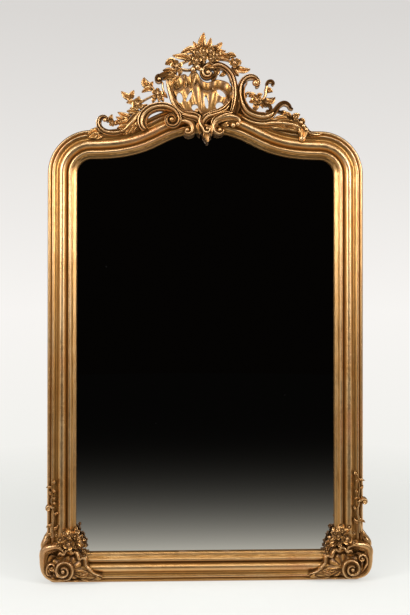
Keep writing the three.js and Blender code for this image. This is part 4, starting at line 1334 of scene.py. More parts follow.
@dataclass
class Crest:
    """The carved and pierced crest, one piece for each carved solid."""

    material: bpy.types.Material
    oval_reach: float = 120.0

    def carving(self, node: str) -> Carving:
        """Starts the carving that stands for a solid."""
        return Carving(f"{node}_carved", (node,))

    def build(self) -> None:
        """Carves every piece, rear to front."""
        self.shell()
        self.top_leaves()
        self.side_leaves()
        self.left_spray()
        self.right_spray()
        self.right_twig()
        self.shell_rim()
        self.acanthus()
        self.outer_scroll()
        self.shoulder_leaves()
        self.right_scroll()
        self.top_scroll()
        self.left_volute()
        self.small_scrolls()
        self.console()
        self.blossoms()

    def shell(self) -> None:
        """The pierced shell in the middle."""
        piece = self.carving("crest_shell")
        rim = [
            (-28, 1590), (-52, 1594), (-78, 1597), (-97, 1608), (-110, 1624), (-119, 1645),
            (-125, 1668), (-129, 1690), (-131, 1706), (-120, 1716), (-104, 1712), (-92, 1724),
            (-74, 1730), (-62, 1722), (-52, 1738), (-38, 1741), (-28, 1731), (-20, 1716),
            (-9, 1706), (4, 1702), (16, 1706), (30, 1712), (46, 1711), (60, 1708), (76, 1700),
            (88, 1680), (93, 1650), (93, 1615), (86, 1598), (60, 1592), (30, 1586), (0, 1584),
        ]
        piece.fan((-4, 1592), rim, flutes=15, fold=0.72, heights=(0.6, 0.8, 0.98), spread=0.5,
                  flute=0.10)
        cutter = bmesh.new()
        for middle, half_width, half_height, tilt in (
            ((-91, 1651), 10, 19, 6),
            ((-59, 1655), 6, 20, -24),
            ((-39, 1618), 11.5, 11.5, 0),
            ((0, 1636), 6.5, 22, 8),
            ((46, 1623), 14, 15, 0),
            ((51, 1667), 10, 19, 48),
        ):
            self.oval(cutter, middle, half_width, half_height, tilt)
        piece.pierce(cutter_object(cutter))
        piece.leaf([(-54, 1684), (-48, 1712), (-36, 1740)], 10, (0.8, 1.0, 1.15))
        piece.leaf([(-76, 1682), (-76, 1706), (-70, 1730)], 9, (0.8, 0.95, 1.05))
        piece.leaf([(-98, 1680), (-108, 1700), (-118, 1716)], 8, (0.8, 0.95, 1.0))
        piece.leaf([(24, 1676), (34, 1694), (52, 1710)], 8, (0.8, 0.95, 1.0))
        piece.finish(self.material)

    def oval(
        self, cutter: bmesh.types.BMesh, middle: Point, wide: float, high: float, tilt: float
    ) -> None:
        """Adds the shape of an oval opening, a little wider at the front, to a cutter.

        Args:
            cutter: The cutter's mesh.
            middle: The opening's middle.
            wide: Its half width.
            high: Its half height.
            tilt: Its lean in degrees, counter-clockwise.
        """
        made = bmesh.ops.create_cone(
            cutter, cap_ends=True, segments=32, radius1=0.92, radius2=1.12,
            depth=self.oval_reach * MM,
        )
        shape = (
            Matrix.Translation((middle[0] * MM, -20 * MM, middle[1] * MM))
            @ Matrix.Rotation(math.radians(-tilt), 4, "Y")
            @ Matrix.Diagonal((wide * MM, 1.0, high * MM, 1.0))
            @ Matrix.Rotation(math.pi / 2, 4, "X")
        )
        bmesh.ops.transform(cutter, matrix=shape, verts=made["verts"])

    def top_leaves(self) -> None:
        """The leaves that stand up at the very top."""
        piece = self.carving("crest_leaves_top")
        piece.band([(-24, 1742), (-16, 1776), (-4, 1812)], (12, 15, 9), (0.6,), Profile.ROLL)
        piece.leaf([(-16, 1794), (-52, 1814), (-91, 1803)], 12, (0.6, 0.95, 0.5))
        piece.leaf([(-14, 1806), (-16, 1838), (-8, 1876)], 12.5, (0.6, 1.0, 0.8))
        piece.leaf([(-16, 1800), (-31, 1820), (-47, 1845)], 9)
        piece.leaf([(-4, 1802), (8, 1828), (16, 1858)], 10)
        piece.leaf([(0, 1798), (28, 1814), (56, 1843)], 16, (0.6, 0.95, 0.6), lobes=2)
        piece.leaf([(14, 1794), (42, 1806), (69, 1812)], 9)
        piece.leaf([(4, 1784), (42, 1795), (88, 1800)], 11, (0.6, 0.9, 0.6))
        piece.leaf([(-20, 1780), (-44, 1786), (-66, 1776)], 9, (0.5, 0.7, 0.4))
        piece.leaf([(10, 1774), (34, 1782), (58, 1786)], 9, (0.5, 0.7, 0.4))
        piece.finish(self.material)

    def side_leaves(self) -> None:
        """The leaves and flowers on both sides of the top."""
        left = self.carving("crest_leaves_left")
        stem = [(-34, 1788), (-60, 1780), (-84, 1769), (-102, 1757), (-105, 1728)]
        left.band(stem, (5, 4.5, 4), (0.6,), Profile.ROLL)
        left.band([(-36, 1752), (-60, 1746), (-84, 1748), (-102, 1757)], (5, 5, 4), (0.7,),
                  Profile.ROLL)
        left.leaf([(-38, 1782), (-80, 1790), (-120, 1796)], 11, (0.6, 0.9, 0.5))
        left.leaf([(-102, 1760), (-122, 1772), (-143, 1763)], 13)
        left.leaf([(-98, 1750), (-114, 1740), (-128, 1744)], 9)
        left.leaf([(-94, 1752), (-90, 1738), (-96, 1724)], 8)
        left.flower((-102, 1757), 22, turn=20)
        left.finish(self.material)
        right = self.carving("crest_leaves_right")
        stem = [(14, 1786), (50, 1784), (76, 1780), (90, 1768), (95, 1750), (104, 1738), (113, 1730)]
        right.band(stem, (5, 4.5, 4), (0.6,), Profile.ROLL)
        right.leaf([(16, 1788), (52, 1794), (84, 1784)], 12)
        right.leaf([(66, 1788), (86, 1798), (104, 1791)], 10)
        right.leaf([(98, 1758), (124, 1746), (153, 1750)], 11)
        right.leaf([(92, 1760), (96, 1742), (112, 1724)], 10)
        right.leaf([(100, 1776), (112, 1774), (116, 1762)], 8)
        right.flower((96, 1770), 19, turn=50)
        right.finish(self.material)

    def left_spray(self) -> None:
        """The spray of twigs, leaves and two flowers on the left."""
        piece = self.carving("crest_spray_left")
        for line, width in (
            ([(-212, 1600), (-231, 1621), (-247, 1638), (-262, 1646)], 4.5),
            ([(-232, 1628), (-205, 1646), (-170, 1663)], 4.0),
            ([(-153, 1612), (-160, 1635), (-168, 1662)], 5.0),
            ([(-171, 1671), (-188, 1686), (-200, 1697)], 3.5),
            ([(-214, 1602), (-250, 1598), (-278, 1590)], 3.5),
        ):
            piece.band(line, (width, width * 0.8), (0.6, 0.7), Profile.ROLL)
        for line, width in (
            ([(-188, 1684), (-210, 1698), (-213, 1721)], 12.0),
            ([(-193, 1684), (-188, 1696), (-181, 1706)], 7.0),
            ([(-176, 1680), (-200, 1679), (-223, 1666)], 8.5),
            ([(-160, 1668), (-145, 1661), (-131, 1648)], 8.0),
            ([(-250, 1646), (-272, 1653), (-292, 1672)], 10.0),
            ([(-256, 1646), (-254, 1661), (-246, 1676)], 8.5),
            ([(-238, 1628), (-256, 1634), (-275, 1632)], 8.0),
            ([(-228, 1634), (-232, 1645), (-228, 1656)], 7.0),
            ([(-228, 1616), (-212, 1620), (-200, 1628)], 8.0),
            ([(-236, 1618), (-250, 1612), (-262, 1614)], 8.0),
            ([(-172, 1654), (-180, 1642), (-184, 1630)], 7.0),
            ([(-160, 1654), (-150, 1644), (-146, 1634)], 7.0),
            ([(-224, 1598), (-250, 1603), (-274, 1603)], 9.0),
        ):
            piece.leaf(line, width)
        piece.flower((-168, 1663), 20, turn=10)
        piece.flower((-234, 1627), 21, turn=40)
        piece.finish(self.material)

    def right_spray(self) -> None:
        """The spray of twigs and a flower inside the large scroll."""
        piece = self.carving("crest_spray_right")
        stem = [(131, 1655), (139, 1668), (153, 1667), (168, 1650), (190, 1645), (202, 1660),
                (205, 1682), (209, 1697)]
        piece.band(stem, (4.5, 5.5, 5), (0.7, 0.8), Profile.ROLL)
        piece.band([(206, 1692), (210, 1705), (222, 1708), (229, 1700), (222, 1693)], (5.5, 6.5, 5),
                   (0.95,), Profile.CHANNEL)
        piece.band([(194, 1642), (202, 1626), (214, 1627), (221, 1615), (212, 1605), (203, 1611)],
                   (5.5, 6, 5), (0.85,), Profile.CHANNEL)
        for line, width in (
            ([(138, 1664), (131, 1657), (125, 1647)], 8.0),
            ([(168, 1652), (155, 1661), (143, 1654)], 9.0),
            ([(168, 1650), (158, 1641), (145, 1636)], 9.0),
            ([(173, 1640), (169, 1620), (158, 1602)], 10.0),
            ([(178, 1638), (190, 1628), (194, 1614)], 7.5),
            ([(176, 1652), (182, 1662), (194, 1664)], 7.0),
            ([(199, 1670), (214, 1680), (229, 1671)], 8.0),
            ([(190, 1648), (222, 1638), (237, 1657)], 9.0),
        ):
            piece.leaf(line, width)
        piece.flower((173, 1644), 18, turn=30)
        piece.finish(self.material)

    def right_twig(self) -> None:
        """The twig that runs down to the right shoulder."""
        piece = self.carving("crest_twig_right")
        stem = [(228, 1612), (250, 1604), (272, 1595), (288, 1583), (303, 1578), (320, 1570),
                (332, 1556), (343, 1542), (352, 1533)]
        piece.band(stem, (6, 5, 5, 7.5, 7), (0.7, 0.8), Profile.CHANNEL)
        piece.leaf([(252, 1604), (268, 1598), (275, 1584)], 8)
        piece.leaf([(262, 1600), (284, 1594), (292, 1582)], 7)
        piece.leaf([(294, 1580), (308, 1591), (323, 1595)], 10)
        piece.leaf([(316, 1574), (330, 1574), (338, 1564)], 8)
        piece.flower((306, 1583), 11, turn=15)
        for middle, radius in (((324, 1567), 7), ((333, 1555), 8), ((342, 1543), 8)):
            piece.ball(middle, radius, 0.85)
        piece.finish(self.material)

    def shell_rim(self) -> None:
        """The raised rim on the shell's left, with its curl."""
        piece = self.carving("crest_rim_left")
        rim = [(-136, 1712), (-127, 1684), (-120, 1658), (-113, 1637), (-102, 1617), (-88, 1603),
               (-71, 1595), (-46, 1594)]
        piece.band(rim, (4, 8, 8.5, 8.5, 7.5, 6, 3), (0.98,), Profile.BROAD)
        piece.scroll([(-102, 1734), (-124, 1735), (-146, 1728), (-160, 1721)],
                     ((-161, 1712), 11, 95, 1.1), (9, 10, 9, 7, 5), (0.85, 1.0), Profile.CHANNEL)
        piece.leaf([(-96, 1716), (-126, 1720), (-152, 1708)], 10, (0.8, 0.95, 0.8))
        piece.leaf([(-100, 1732), (-126, 1744), (-152, 1742)], 8, (0.7, 0.95, 0.8))
        piece.leaf([(-92, 1724), (-112, 1702), (-120, 1682)], 10, (0.8, 1.05, 0.9), lobes=2)
        piece.band([(-150, 1706), (-149, 1685), (-142, 1665), (-134, 1651)], (3.6, 3), (0.7,),
                   Profile.ROLL)
        piece.finish(self.material)

    def acanthus(self) -> None:
        """The acanthus leaves that spread from the scrolls over the moulding."""
        left = self.carving("crest_acanthus_left")
        left.band([(-222, 1603), (-236, 1584), (-254, 1562), (-274, 1542), (-292, 1530)],
                  (13, 19, 19, 12), (0.75, 0.95, 0.8), Profile.REEDED)
        left.band([(-221, 1603), (-251, 1597), (-277, 1591), (-294, 1596)], (5, 4, 3.5), (0.6,),
                  Profile.ROLL)
        for line, width in (
            ([(-258, 1581), (-283, 1589), (-304, 1600)], 9.0),
            ([(-268, 1576), (-290, 1575), (-310, 1584)], 8.0),
            ([(-252, 1570), (-280, 1562), (-305, 1560)], 11.0),
            ([(-258, 1554), (-286, 1548), (-307, 1543)], 11.0),
            ([(-244, 1562), (-262, 1542), (-274, 1520)], 12.0),
            ([(-234, 1566), (-247, 1547), (-254, 1526)], 11.0),
            ([(-226, 1574), (-234, 1555), (-237, 1536)], 10.0),
        ):
            left.leaf(line, width, (0.6, 0.95, 0.8))
        left.finish(self.material)
        right = self.carving("crest_acanthus_right")
        right.band([(118, 1590), (150, 1572), (188, 1563), (230, 1566), (270, 1564), (304, 1558),
                    (330, 1543)], (8, 11, 13, 16, 18, 17, 11), (0.6, 0.8, 0.95, 0.85),
                   Profile.REEDED)
        for line, width in (
            ([(226, 1572), (258, 1582), (292, 1574)], 10.0),
            ([(256, 1560), (290, 1550), (316, 1536)], 11.0),
            ([(214, 1560), (250, 1553), (290, 1543)], 10.0),
            ([(284, 1570), (310, 1566), (330, 1554)], 9.0),
        ):
            right.leaf(line, width, (0.7, 0.95, 0.8))
        right.leaf([(314, 1562), (332, 1534), (327, 1500)], 16, (0.85, 1.05, 1.05), lobes=2)
        right.ball((328, 1512), 12, 1.02)
        right.finish(self.material)

    def outer_scroll(self) -> None:
        """The scroll at the crest's left end, with its bud."""
        piece = self.carving("crest_scroll_left_outer")
        line = [(-286, 1534), (-310, 1529), (-334, 1530), (-352, 1537), (-364, 1550), (-367, 1565),
                (-361, 1579), (-350, 1584), (-340, 1580), (-337, 1571), (-343, 1566)]
        piece.band(line, (9, 11, 11, 10.5, 9.5, 8, 6, 4.5), (0.85, 1.0), Profile.REEDED)
        piece.ball((-345, 1571), 7, 1.02)
        piece.leaf([(-322, 1564), (-326, 1578), (-320, 1593)], 8)
        piece.leaf([(-316, 1560), (-303, 1566), (-296, 1577)], 8)
        piece.flower((-320, 1560), 13, turn=5)
        piece.finish(self.material)

    def shoulder_leaves(self) -> None:
        """The leaves that end the crest on both shoulders."""
        left = self.carving("shoulder_leaf_left")
        left.leaf([(-360, 1535), (-382, 1533), (-405, 1522)], 12, (0.75, 1.0, 0.85), lobes=3)
        left.leaf([(-366, 1526), (-384, 1518), (-402, 1510)], 10, (0.75, 1.0, 0.85), lobes=2)
        left.leaf([(-354, 1530), (-366, 1517), (-380, 1506)], 9)
        left.finish(self.material)
        right = self.carving("shoulder_leaf_right")
        right.band([(330, 1556), (344, 1540), (360, 1529), (380, 1527), (400, 1532)],
                   (7, 8, 9, 8, 3), (0.85, 0.95, 0.7), Profile.REEDED)
        right.finish(self.material)

    def right_scroll(self) -> None:
        """The large scroll on the right."""
        piece = self.carving("crest_scroll_right_large")
        line = [(234, 1604), (218, 1590), (195, 1584), (168, 1588), (142, 1600), (125, 1622),
                (116, 1650), (115, 1680), (122, 1704), (135, 1718), (152, 1723), (168, 1718),
                (177, 1705), (175, 1692), (165, 1687)]
        piece.band(line, (10, 15, 16, 15, 14, 12.5, 11.5, 10.5, 10, 8, 6), (0.85, 1.0),
                   Profile.REEDED)
        piece.ball((167, 1700), 11, 1.02)
        piece.band([(226, 1597), (238, 1611), (250, 1626), (266, 1633), (281, 1627), (289, 1615),
                    (300, 1613)], (12, 10, 9, 8, 6.5, 4), (0.95, 0.95, 0.7), Profile.CHANNEL)
        piece.band([(204, 1599), (174, 1602), (151, 1614), (135, 1636), (129, 1662), (131, 1688),
                    (141, 1705)], (2.5, 3.2, 3.2, 2.8), (0.8, 0.95), Profile.ROLL)
        piece.finish(self.material)

    def top_scroll(self) -> None:
        """The scroll over the shell's right side."""
        piece = self.carving("crest_scroll_top")
        line = [(86, 1598), (94, 1628), (98, 1660), (96, 1695), (86, 1727), (67, 1749), (42, 1760)]
        piece.scroll(line, ((5, 1734), 25, 58, 0.95), (8, 9.5, 10, 10.5, 11, 11.5, 12, 11, 9),
                     (0.8, 0.9), Profile.REEDED, eye_size=8)
        piece.leaf([(34, 1752), (8, 1756), (-10, 1738)], 12, (0.8, 1.0, 0.9), lobes=2)
        piece.leaf([(40, 1750), (34, 1734), (20, 1722)], 9, (0.6, 0.8, 0.7))
        piece.leaf([(62, 1744), (58, 1730), (42, 1724)], 7, (0.5, 0.7, 0.6))
        piece.band([(28, 1746), (48, 1750), (67, 1741), (79, 1722), (85, 1700)], (3, 3.5, 3),
                   (0.6, 0.7), Profile.ROLL)
        piece.band([(14, 1712), (26, 1720), (32, 1736), (28, 1752)], (7, 8, 7), (0.75,),
                   Profile.CHANNEL)
        piece.band([(110, 1694), (108, 1668), (106, 1636), (103, 1612), (98, 1594)],
                   (2.5, 7, 9, 10, 7), (0.7, 0.78), Profile.CHANNEL)
        piece.finish(self.material)

    def left_volute(self) -> None:
        """The large volute on the left."""
        piece = self.carving("crest_volute_left")
        line = [(-204, 1538), (-217, 1550), (-221, 1571), (-212, 1593), (-192, 1610), (-164, 1619),
                (-135, 1618), (-111, 1607), (-97, 1590)]
        piece.scroll(line, ((-118, 1573), 27, 38, -1.5), (11, 15, 16, 15, 12, 9.5, 8, 6.5, 5),
                     (0.82, 0.88), Profile.REEDED, eye_size=9)
        piece.band([(-200, 1542), (-206, 1562), (-201, 1584), (-185, 1600), (-160, 1607),
                    (-134, 1604)], (2.5, 3.2, 3), (0.7, 0.8), Profile.ROLL)
        piece.finish(self.material)

    def small_scrolls(self) -> None:
        """The two small scrolls beside the console."""
        left = self.carving("crest_scroll_left_small")
        left.band([(-88, 1572), (-68, 1571), (-52, 1563), (-45, 1549), (-46, 1534), (-57, 1525),
                   (-70, 1527), (-74, 1537)], (5, 9, 10, 10, 9, 6.5, 4.5), (0.8, 0.88),
                  Profile.BROAD)
        left.ball((-66, 1538), 8, 0.88)
        left.finish(self.material)
        right = self.carving("crest_scroll_right_small")
        right.band([(114, 1560), (107, 1575), (84, 1582), (58, 1579), (36, 1569), (25, 1552),
                    (29, 1536), (43, 1528), (56, 1534), (54, 1544)],
                   (5, 10, 12, 12, 11, 10, 8.5, 6, 4.5), (0.8, 0.88), Profile.BROAD)
        right.leaf([(84, 1566), (64, 1558), (48, 1556)], 8, (0.5, 0.7, 0.6))
        right.ball((46, 1539), 7, 0.9)
        right.ball((91, 1556), 9, 0.85)
        right.ball((107, 1560), 8, 0.8)
        right.finish(self.material)

    def console(self) -> None:
        """The curled leaf that hangs from the crest's middle."""
        piece = self.carving("crest_console")
        for line, width in (
            ([(-10, 1536), (-14, 1562), (2, 1584), (32, 1594), (63, 1608), (86, 1634)], 13.0),
            ([(-4, 1576), (16, 1596), (44, 1606), (70, 1626), (88, 1654)], 9.0),
            ([(18, 1552), (30, 1574), (58, 1590), (84, 1598), (104, 1612)], 12.0),
            ([(-12, 1562), (-36, 1580), (-62, 1586), (-92, 1594)], 14.0),
            ([(-18, 1580), (-38, 1594), (-60, 1598), (-82, 1600)], 9.0),
        ):
            piece.band(line, (width * 0.55, width, width, width * 0.8, 1.5),
                       (0.62, 0.72, 0.7, 0.62, 0.5), Profile.REEDED)
        piece.leaf([(-6, 1560), (-2, 1530), (6, 1495)], 13, (0.75, 0.85, 0.8), lobes=3)
        piece.leaf([(-20, 1572), (-26, 1546), (-22, 1520)], 10, (0.75, 0.95, 0.8), lobes=2)
        piece.leaf([(10, 1556), (14, 1536), (14, 1514)], 8, (0.7, 0.85, 0.7))
        piece.scroll([(-20, 1590), (-22, 1568), (-14, 1548)], ((2, 1541), 13, 170, 1.0),
                     (3, 8, 8, 7, 6, 4), (0.75, 0.95, 1.0), Profile.BROAD, eye_size=5)
        piece.scroll([(-14, 1592), (-22, 1600)], ((-32, 1602), 8, 10, 0.9), (5, 5, 3.5), (0.7,),
                     Profile.ROLL, eye_size=4)
        piece.finish(self.material)

    def blossoms(self) -> None:
        """The bunch of blossoms over the shell."""
        piece = self.carving("crest_blossoms")
        piece.band([(-42, 1730), (-40, 1755), (-28, 1778), (-8, 1794), (16, 1790)], (8, 9, 10, 7),
                   (0.5,), Profile.ROLL)
        for line, width in (
            ([(-34, 1752), (-22, 1744), (-18, 1732)], 6.0),
            ([(20, 1786), (34, 1776), (46, 1780)], 6.5),
            ([(-20, 1812), (-28, 1822), (-30, 1832)], 5.0),
            ([(6, 1806), (14, 1816), (26, 1822)], 6.0),
            ([(-30, 1806), (-48, 1810), (-62, 1806)], 7.0),
            ([(-40, 1782), (-56, 1788), (-70, 1784)], 7.0),
            ([(-40, 1768), (-54, 1764), (-62, 1754)], 7.0),
            ([(30, 1800), (46, 1808), (60, 1806)], 7.0),
            ([(26, 1812), (36, 1822), (40, 1834)], 7.0),
            ([(-18, 1814), (-22, 1830), (-16, 1842)], 7.0),
            ([(4, 1768), (14, 1760), (28, 1762)], 7.0),
        ):
            piece.leaf(line, width, (0.5, 0.8, 0.6))
        for middle, radius, turn in (
            ((-34, 1771), 17, 10), ((-32, 1798), 13, 30), ((-11, 1804), 14, 0),
            ((14, 1803), 15, 50), ((35, 1790), 14, 20), ((-10, 1781), 14, 60), ((14, 1777), 13, 35),
        ):
            piece.flower(middle, radius, turn=turn)
        piece.ball((-31, 1751), 9, 0.9)
        piece.ball((-46, 1743), 9, 0.8)
        piece.ball((-18, 1742), 8, 0.8)
        piece.finish(self.material)


# ---------------------------------------------------------------- the bottom corners


@dataclass
class Corner:
    """One bottom corner's carving, drawn inwards from the frame's outer edge.

    The two corners were cut by hand and differ a little.
    """

    side: int
    material: bpy.types.Material
    edge: float
    bulge: float
    volute: Point
    curl: Point
    flowers: Sequence[tuple[float, float, float]]
    mass: Sequence[Point]
    ball: tuple[float, float, float]
    stem: Sequence[Point]
    vine: Sequence[tuple[Sequence[Point], float]]

    def carving(self, node: str, sunk: float = 0.0) -> Carving:
        """Starts the carving of one of this corner's solids, its back sunk a little."""
        label = "left" if self.side > 0 else "right"
        return Carving(
            f"{node}_{label}_carved",
            (f"{node}_{label}",),
            origin=(-self.side * self.edge, 0.0),
            side=self.side,
            sunk=sunk,
        )

    def build(self) -> None:
        """Carves the six pieces of the corner."""
        self.shell()
        self.leaf()
        self.spray()
        self.rim()
        self.blossoms()
        self.scroll()

    def shell(self) -> None:
        """The fluted shell under the flowers."""
        piece = self.carving("corner_shell")
        rim = [
            (24, 16), (8, 36), (3, 66), (8, 92), (22, 100), (38, 93), (52, 98), (62, 110),
            (76, 113), (88, 105), (100, 110), (110, 99), (117, 90), (130, 92), (136, 78),
            (138, 62), (150, 50), (162, 37), (176, 28), (186, 17), (150, 11), (100, 11), (50, 11),
        ]
        piece.fan((66, 44), rim, flutes=12, fold=0.8, heights=(0.5, 0.78, 0.9), flute=0.08)
        piece.band(
            [(38, 98), (48, 108), (60, 104), (68, 116), (80, 118), (88, 106), (99, 112),
             (108, 100), (112, 88), (124, 90), (133, 84), (135, 66), (146, 52)],
            (3, 6.5, 4.5, 6.5, 4.5, 6.5, 4.5, 6, 3), (1.04, 1.16, 1.0, 1.16, 1.0, 1.1),
            Profile.ROLL, lift=(0.4,),
        )
        piece.finish(self.material)

    def leaf(self) -> None:
        """The leaf that runs along the rail."""
        piece = self.carving("corner_leaf")
        piece.band([(134, 96), (136, 66), (150, 50), (164, 36), (192, 25)], (4, 5, 5, 4, 2),
                   (0.6, 0.8, 0.5), Profile.ROLL)
        piece.leaf([(112, 46), (142, 32), (180, 21)], 9, (0.6, 0.75, 0.4))
        piece.leaf([(114, 26), (132, 32), (148, 40)], 6, (0.7, 0.9, 0.7))
        piece.leaf([(116, 20), (140, 18), (164, 15)], 6, (0.6, 0.7, 0.4))
        piece.finish(self.material)

    def spray(self) -> None:
        """The twig that climbs the stile."""
        piece = self.carving("side_spray")
        piece.band(self.stem, (2.2, 2.6, 3, 3.5, 5, 8, 9), (0.62, 0.66, 0.7, 0.6), Profile.ROLL)
        for line, width in self.vine:
            piece.leaf(line, width, (0.7, 0.9, 0.75))
        x, z, radius = self.ball
        piece.scroll([self.stem[4], (x + radius + 4, z + 2)],
                     ((x, z), radius * 0.7, 40, 1.0), (5, 5.5, 4.5), (0.85, 0.9), Profile.ROLL,
                     eye_size=radius * 0.45)
        piece.finish(self.material)

    def rim(self) -> None:
        """The raised rim outside the shell, with a small curl."""
        piece = self.carving("corner_rim")
        b = self.bulge
        piece.band(
            [(62, 104), (54, 116), (38, 124), (20, 122), (15 - b, 110), (11 - b, 88),
             (11 - b, 62), (16 - b, 41), (30 - b, 25), (54 - b, 17), (86 - b, 16)],
            (4, 10, 14, 17, 17, 15, 14, 13, 11, 8, 5), (1.0, 0.95, 0.8, 0.75, 0.75, 0.75),
            Profile.BROAD,
        )
        piece.band([(9, 192), (5, 170), (2 - b * 0.2, 148), (10 - b, 124), (14 - b, 106)],
                   (3, 7, 12, 14, 10), (0.3, 0.45, 0.6, 0.6), Profile.ROLL)
        piece.leaf([(60, 104), (46, 126), (18, 139)], 8, (0.9, 0.95, 0.7))
        x, z = self.curl
        piece.scroll([(40 - b, 28), (x - 16, z - 22), (x - 17, z - 4)], ((x, z), 15, 170, -1.15),
                     (3, 6, 6, 5.5, 4), (0.8, 0.95), Profile.ROLL, eye_size=4.5)
        piece.leaf([(x + 6, z - 18), (x + 12, z - 30), (x + 28, z - 38)], 7, (0.7, 0.8, 0.6))
        piece.finish(self.material)

    def blossoms(self) -> None:
        """The bunch of blossoms on the corner."""
        piece = self.carving("corner_flowers", sunk=28.0)
        middle = sum((Vector(point) for point in self.mass), Vector((0, 0))) / len(self.mass)
        for index, tip in enumerate(self.mass):
            bend = middle.lerp(Vector(tip), 0.55) + Vector((4, -4)) * (index % 2)
            piece.leaf([middle, bend, tip], 11, (0.76, 0.72, 0.22), lobes=2 * (index % 2))
        for index, (x, z, radius) in enumerate(self.flowers):
            over_glass = min(max((x - 88) / 30, 0.0), 1.0)
            piece.flower((x, z), radius, 1.0 - 0.55 * over_glass, turn=index * 23)
        piece.finish(self.material)

    def scroll(self) -> None:
        """The volute at the corner."""
        piece = self.carving("corner_volute")
        x, z = self.volute
        piece.scroll([(x - 4, z - 33), (x + 14, z - 29)], ((x, z), 31, -48, 1.55),
                     (3, 7, 7.5, 7.5, 7, 6, 4.5), (0.5, 0.62, 0.78, 0.95), Profile.BROAD,
                     eye_size=6.5)
        piece.ball((x, z), 24, 0.5)
        piece.finish(self.material)


# ---------------------------------------------------------------- back and hanging gear


def eased_copy(node: bpy.types.Object, ease: float) -> bmesh.types.BMesh:
    """A merged copy of a solid with its arrises rounded.

    Args:
        node: The solid's object, which stays as it is.
        ease: Width of the rounding in millimetres.

    Returns:
        The copy, in the row frame.
    """
    mesh = bmesh.new()
    mesh.from_mesh(node.data)
    mesh.transform(node.matrix_world)
    bmesh.ops.remove_doubles(mesh, verts=mesh.verts, dist=MERGE)
    bmesh.ops.dissolve_limit(mesh, angle_limit=0.02, verts=mesh.verts, edges=mesh.edges)
    sharp = [e for e in mesh.edges if e.is_manifold and e.calc_face_angle() > ARRIS]
    bmesh.ops.bevel(
        mesh, geom=sharp, offset=ease * MM, segments=2, profile=0.5, affect="EDGES", material=-1
    )
    bmesh.ops.recalc_face_normals(mesh, faces=mesh.faces)
    return mesh


def turned(
    profile: Sequence[tuple[float, float]], x: float, z: float, steps: int = 20
) -> bmesh.types.BMesh:
    """Turns a profile round an axis that runs front to back.

    Args:
        profile: Points of radius and y, from the axis out and back to it.
        x: The axis's place across.
        z: The axis's place upwards.
        steps: Steps round it.

    Returns:
        The closed mesh.
    """
    mesh = bmesh.new()
    verts = [mesh.verts.new((r * MM, y * MM, 0.0)) for r, y in profile]
    edges = [mesh.edges.new(pair) for pair in zip(verts, verts[1:])]
    bmesh.ops.spin(
        mesh, geom=[*verts, *edges], cent=(0, 0, 0), axis=(0, 1, 0), angle=2 * math.pi,
        steps=steps, use_merge=True,
    )
    bmesh.ops.remove_doubles(mesh, verts=mesh.verts, dist=MERGE)
    bmesh.ops.translate(mesh, vec=Vector((x, 0.0, z)) * MM, verts=mesh.verts)
    bmesh.ops.recalc_face_normals(mesh, faces=mesh.faces)
    return mesh


@dataclass
class BackWork:
    """The pine boards, the glazing blocks and the batten behind the crest."""

    nodes: dict[str, bpy.types.Object]
    level: bpy.types.Material
    upright: bpy.types.Material
    ease: float = 1.6
    block_ease: float = 0.8
    nail_radius: float = 2.6
    nail_inset: float = 9.0
    nail_margin: float = 40.0
    nail_dome: float = 0.35
    tones: tuple[float, ...] = (0.15, 0.72, 0.38, 0.95, 0.55)

    def build(self) -> None:
        """Builds every wooden piece behind the glass."""
        for index, tone in enumerate(self.tones):
            self.board(f"back_board_{index + 1}", tone)
        for place in ("foot", "side"):
            for label in ("left", "right"):
                self.block(f"glazing_block_{place}_{label}", 0.3 if label == "left" else 0.6)
        self.block("crest_batten", 0.5)

    def board(self, name: str, tone: float) -> None:
        """Planes one board and nails it.

        Args:
            name: The solid's name.
            tone: Tells its grain from the other boards'.
        """
        mesh = eased_copy(self.nodes[name], self.ease)
        low, high = (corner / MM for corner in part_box(name))
        middle = (low.z + high.z) / 2
        recess = mesh.verts.layers.float.new(RECESS)
        heads = [low.z + self.nail_margin, middle, high.z - self.nail_margin]
        if name.endswith("_5"):  # the arch cuts this board's upper corners away
            heads = heads[:2]
        for x in (low.x + self.nail_inset, high.x - self.nail_inset):
            for z in heads:
                made = bmesh.ops.create_uvsphere(
                    mesh, u_segments=10, v_segments=6, radius=self.nail_radius * MM
                )
                for vert in made["verts"]:
                    vert[recess] = 1.0
                bmesh.ops.scale(mesh, vec=(1.0, self.nail_dome, 1.0), verts=made["verts"])
                spot = Vector((x, high.y, z)) * MM
                bmesh.ops.translate(mesh, vec=spot, verts=made["verts"])
        self.mark(mesh, tone)
        finish_piece(f"{name}_planed", mesh, self.level, (name,))

    def block(self, name: str, tone: float) -> None:
        """Eases the edges of a block or the batten.

        Args:
            name: The solid's name.
            tone: Tells its grain from the others'.
        """
        mesh = eased_copy(self.nodes[name], self.block_ease)
        self.mark(mesh, tone)
        finish_piece(f"{name}_eased", mesh, self.upright, (name,))

    def mark(self, mesh: bmesh.types.BMesh, tone: float) -> None:
        """Writes the value that tells a board from the others.

        Args:
            mesh: The board's mesh.
            tone: The value.
        """
        board = mesh.verts.layers.float.new(BOARD)
        for vert in mesh.verts:
            vert[board] = tone


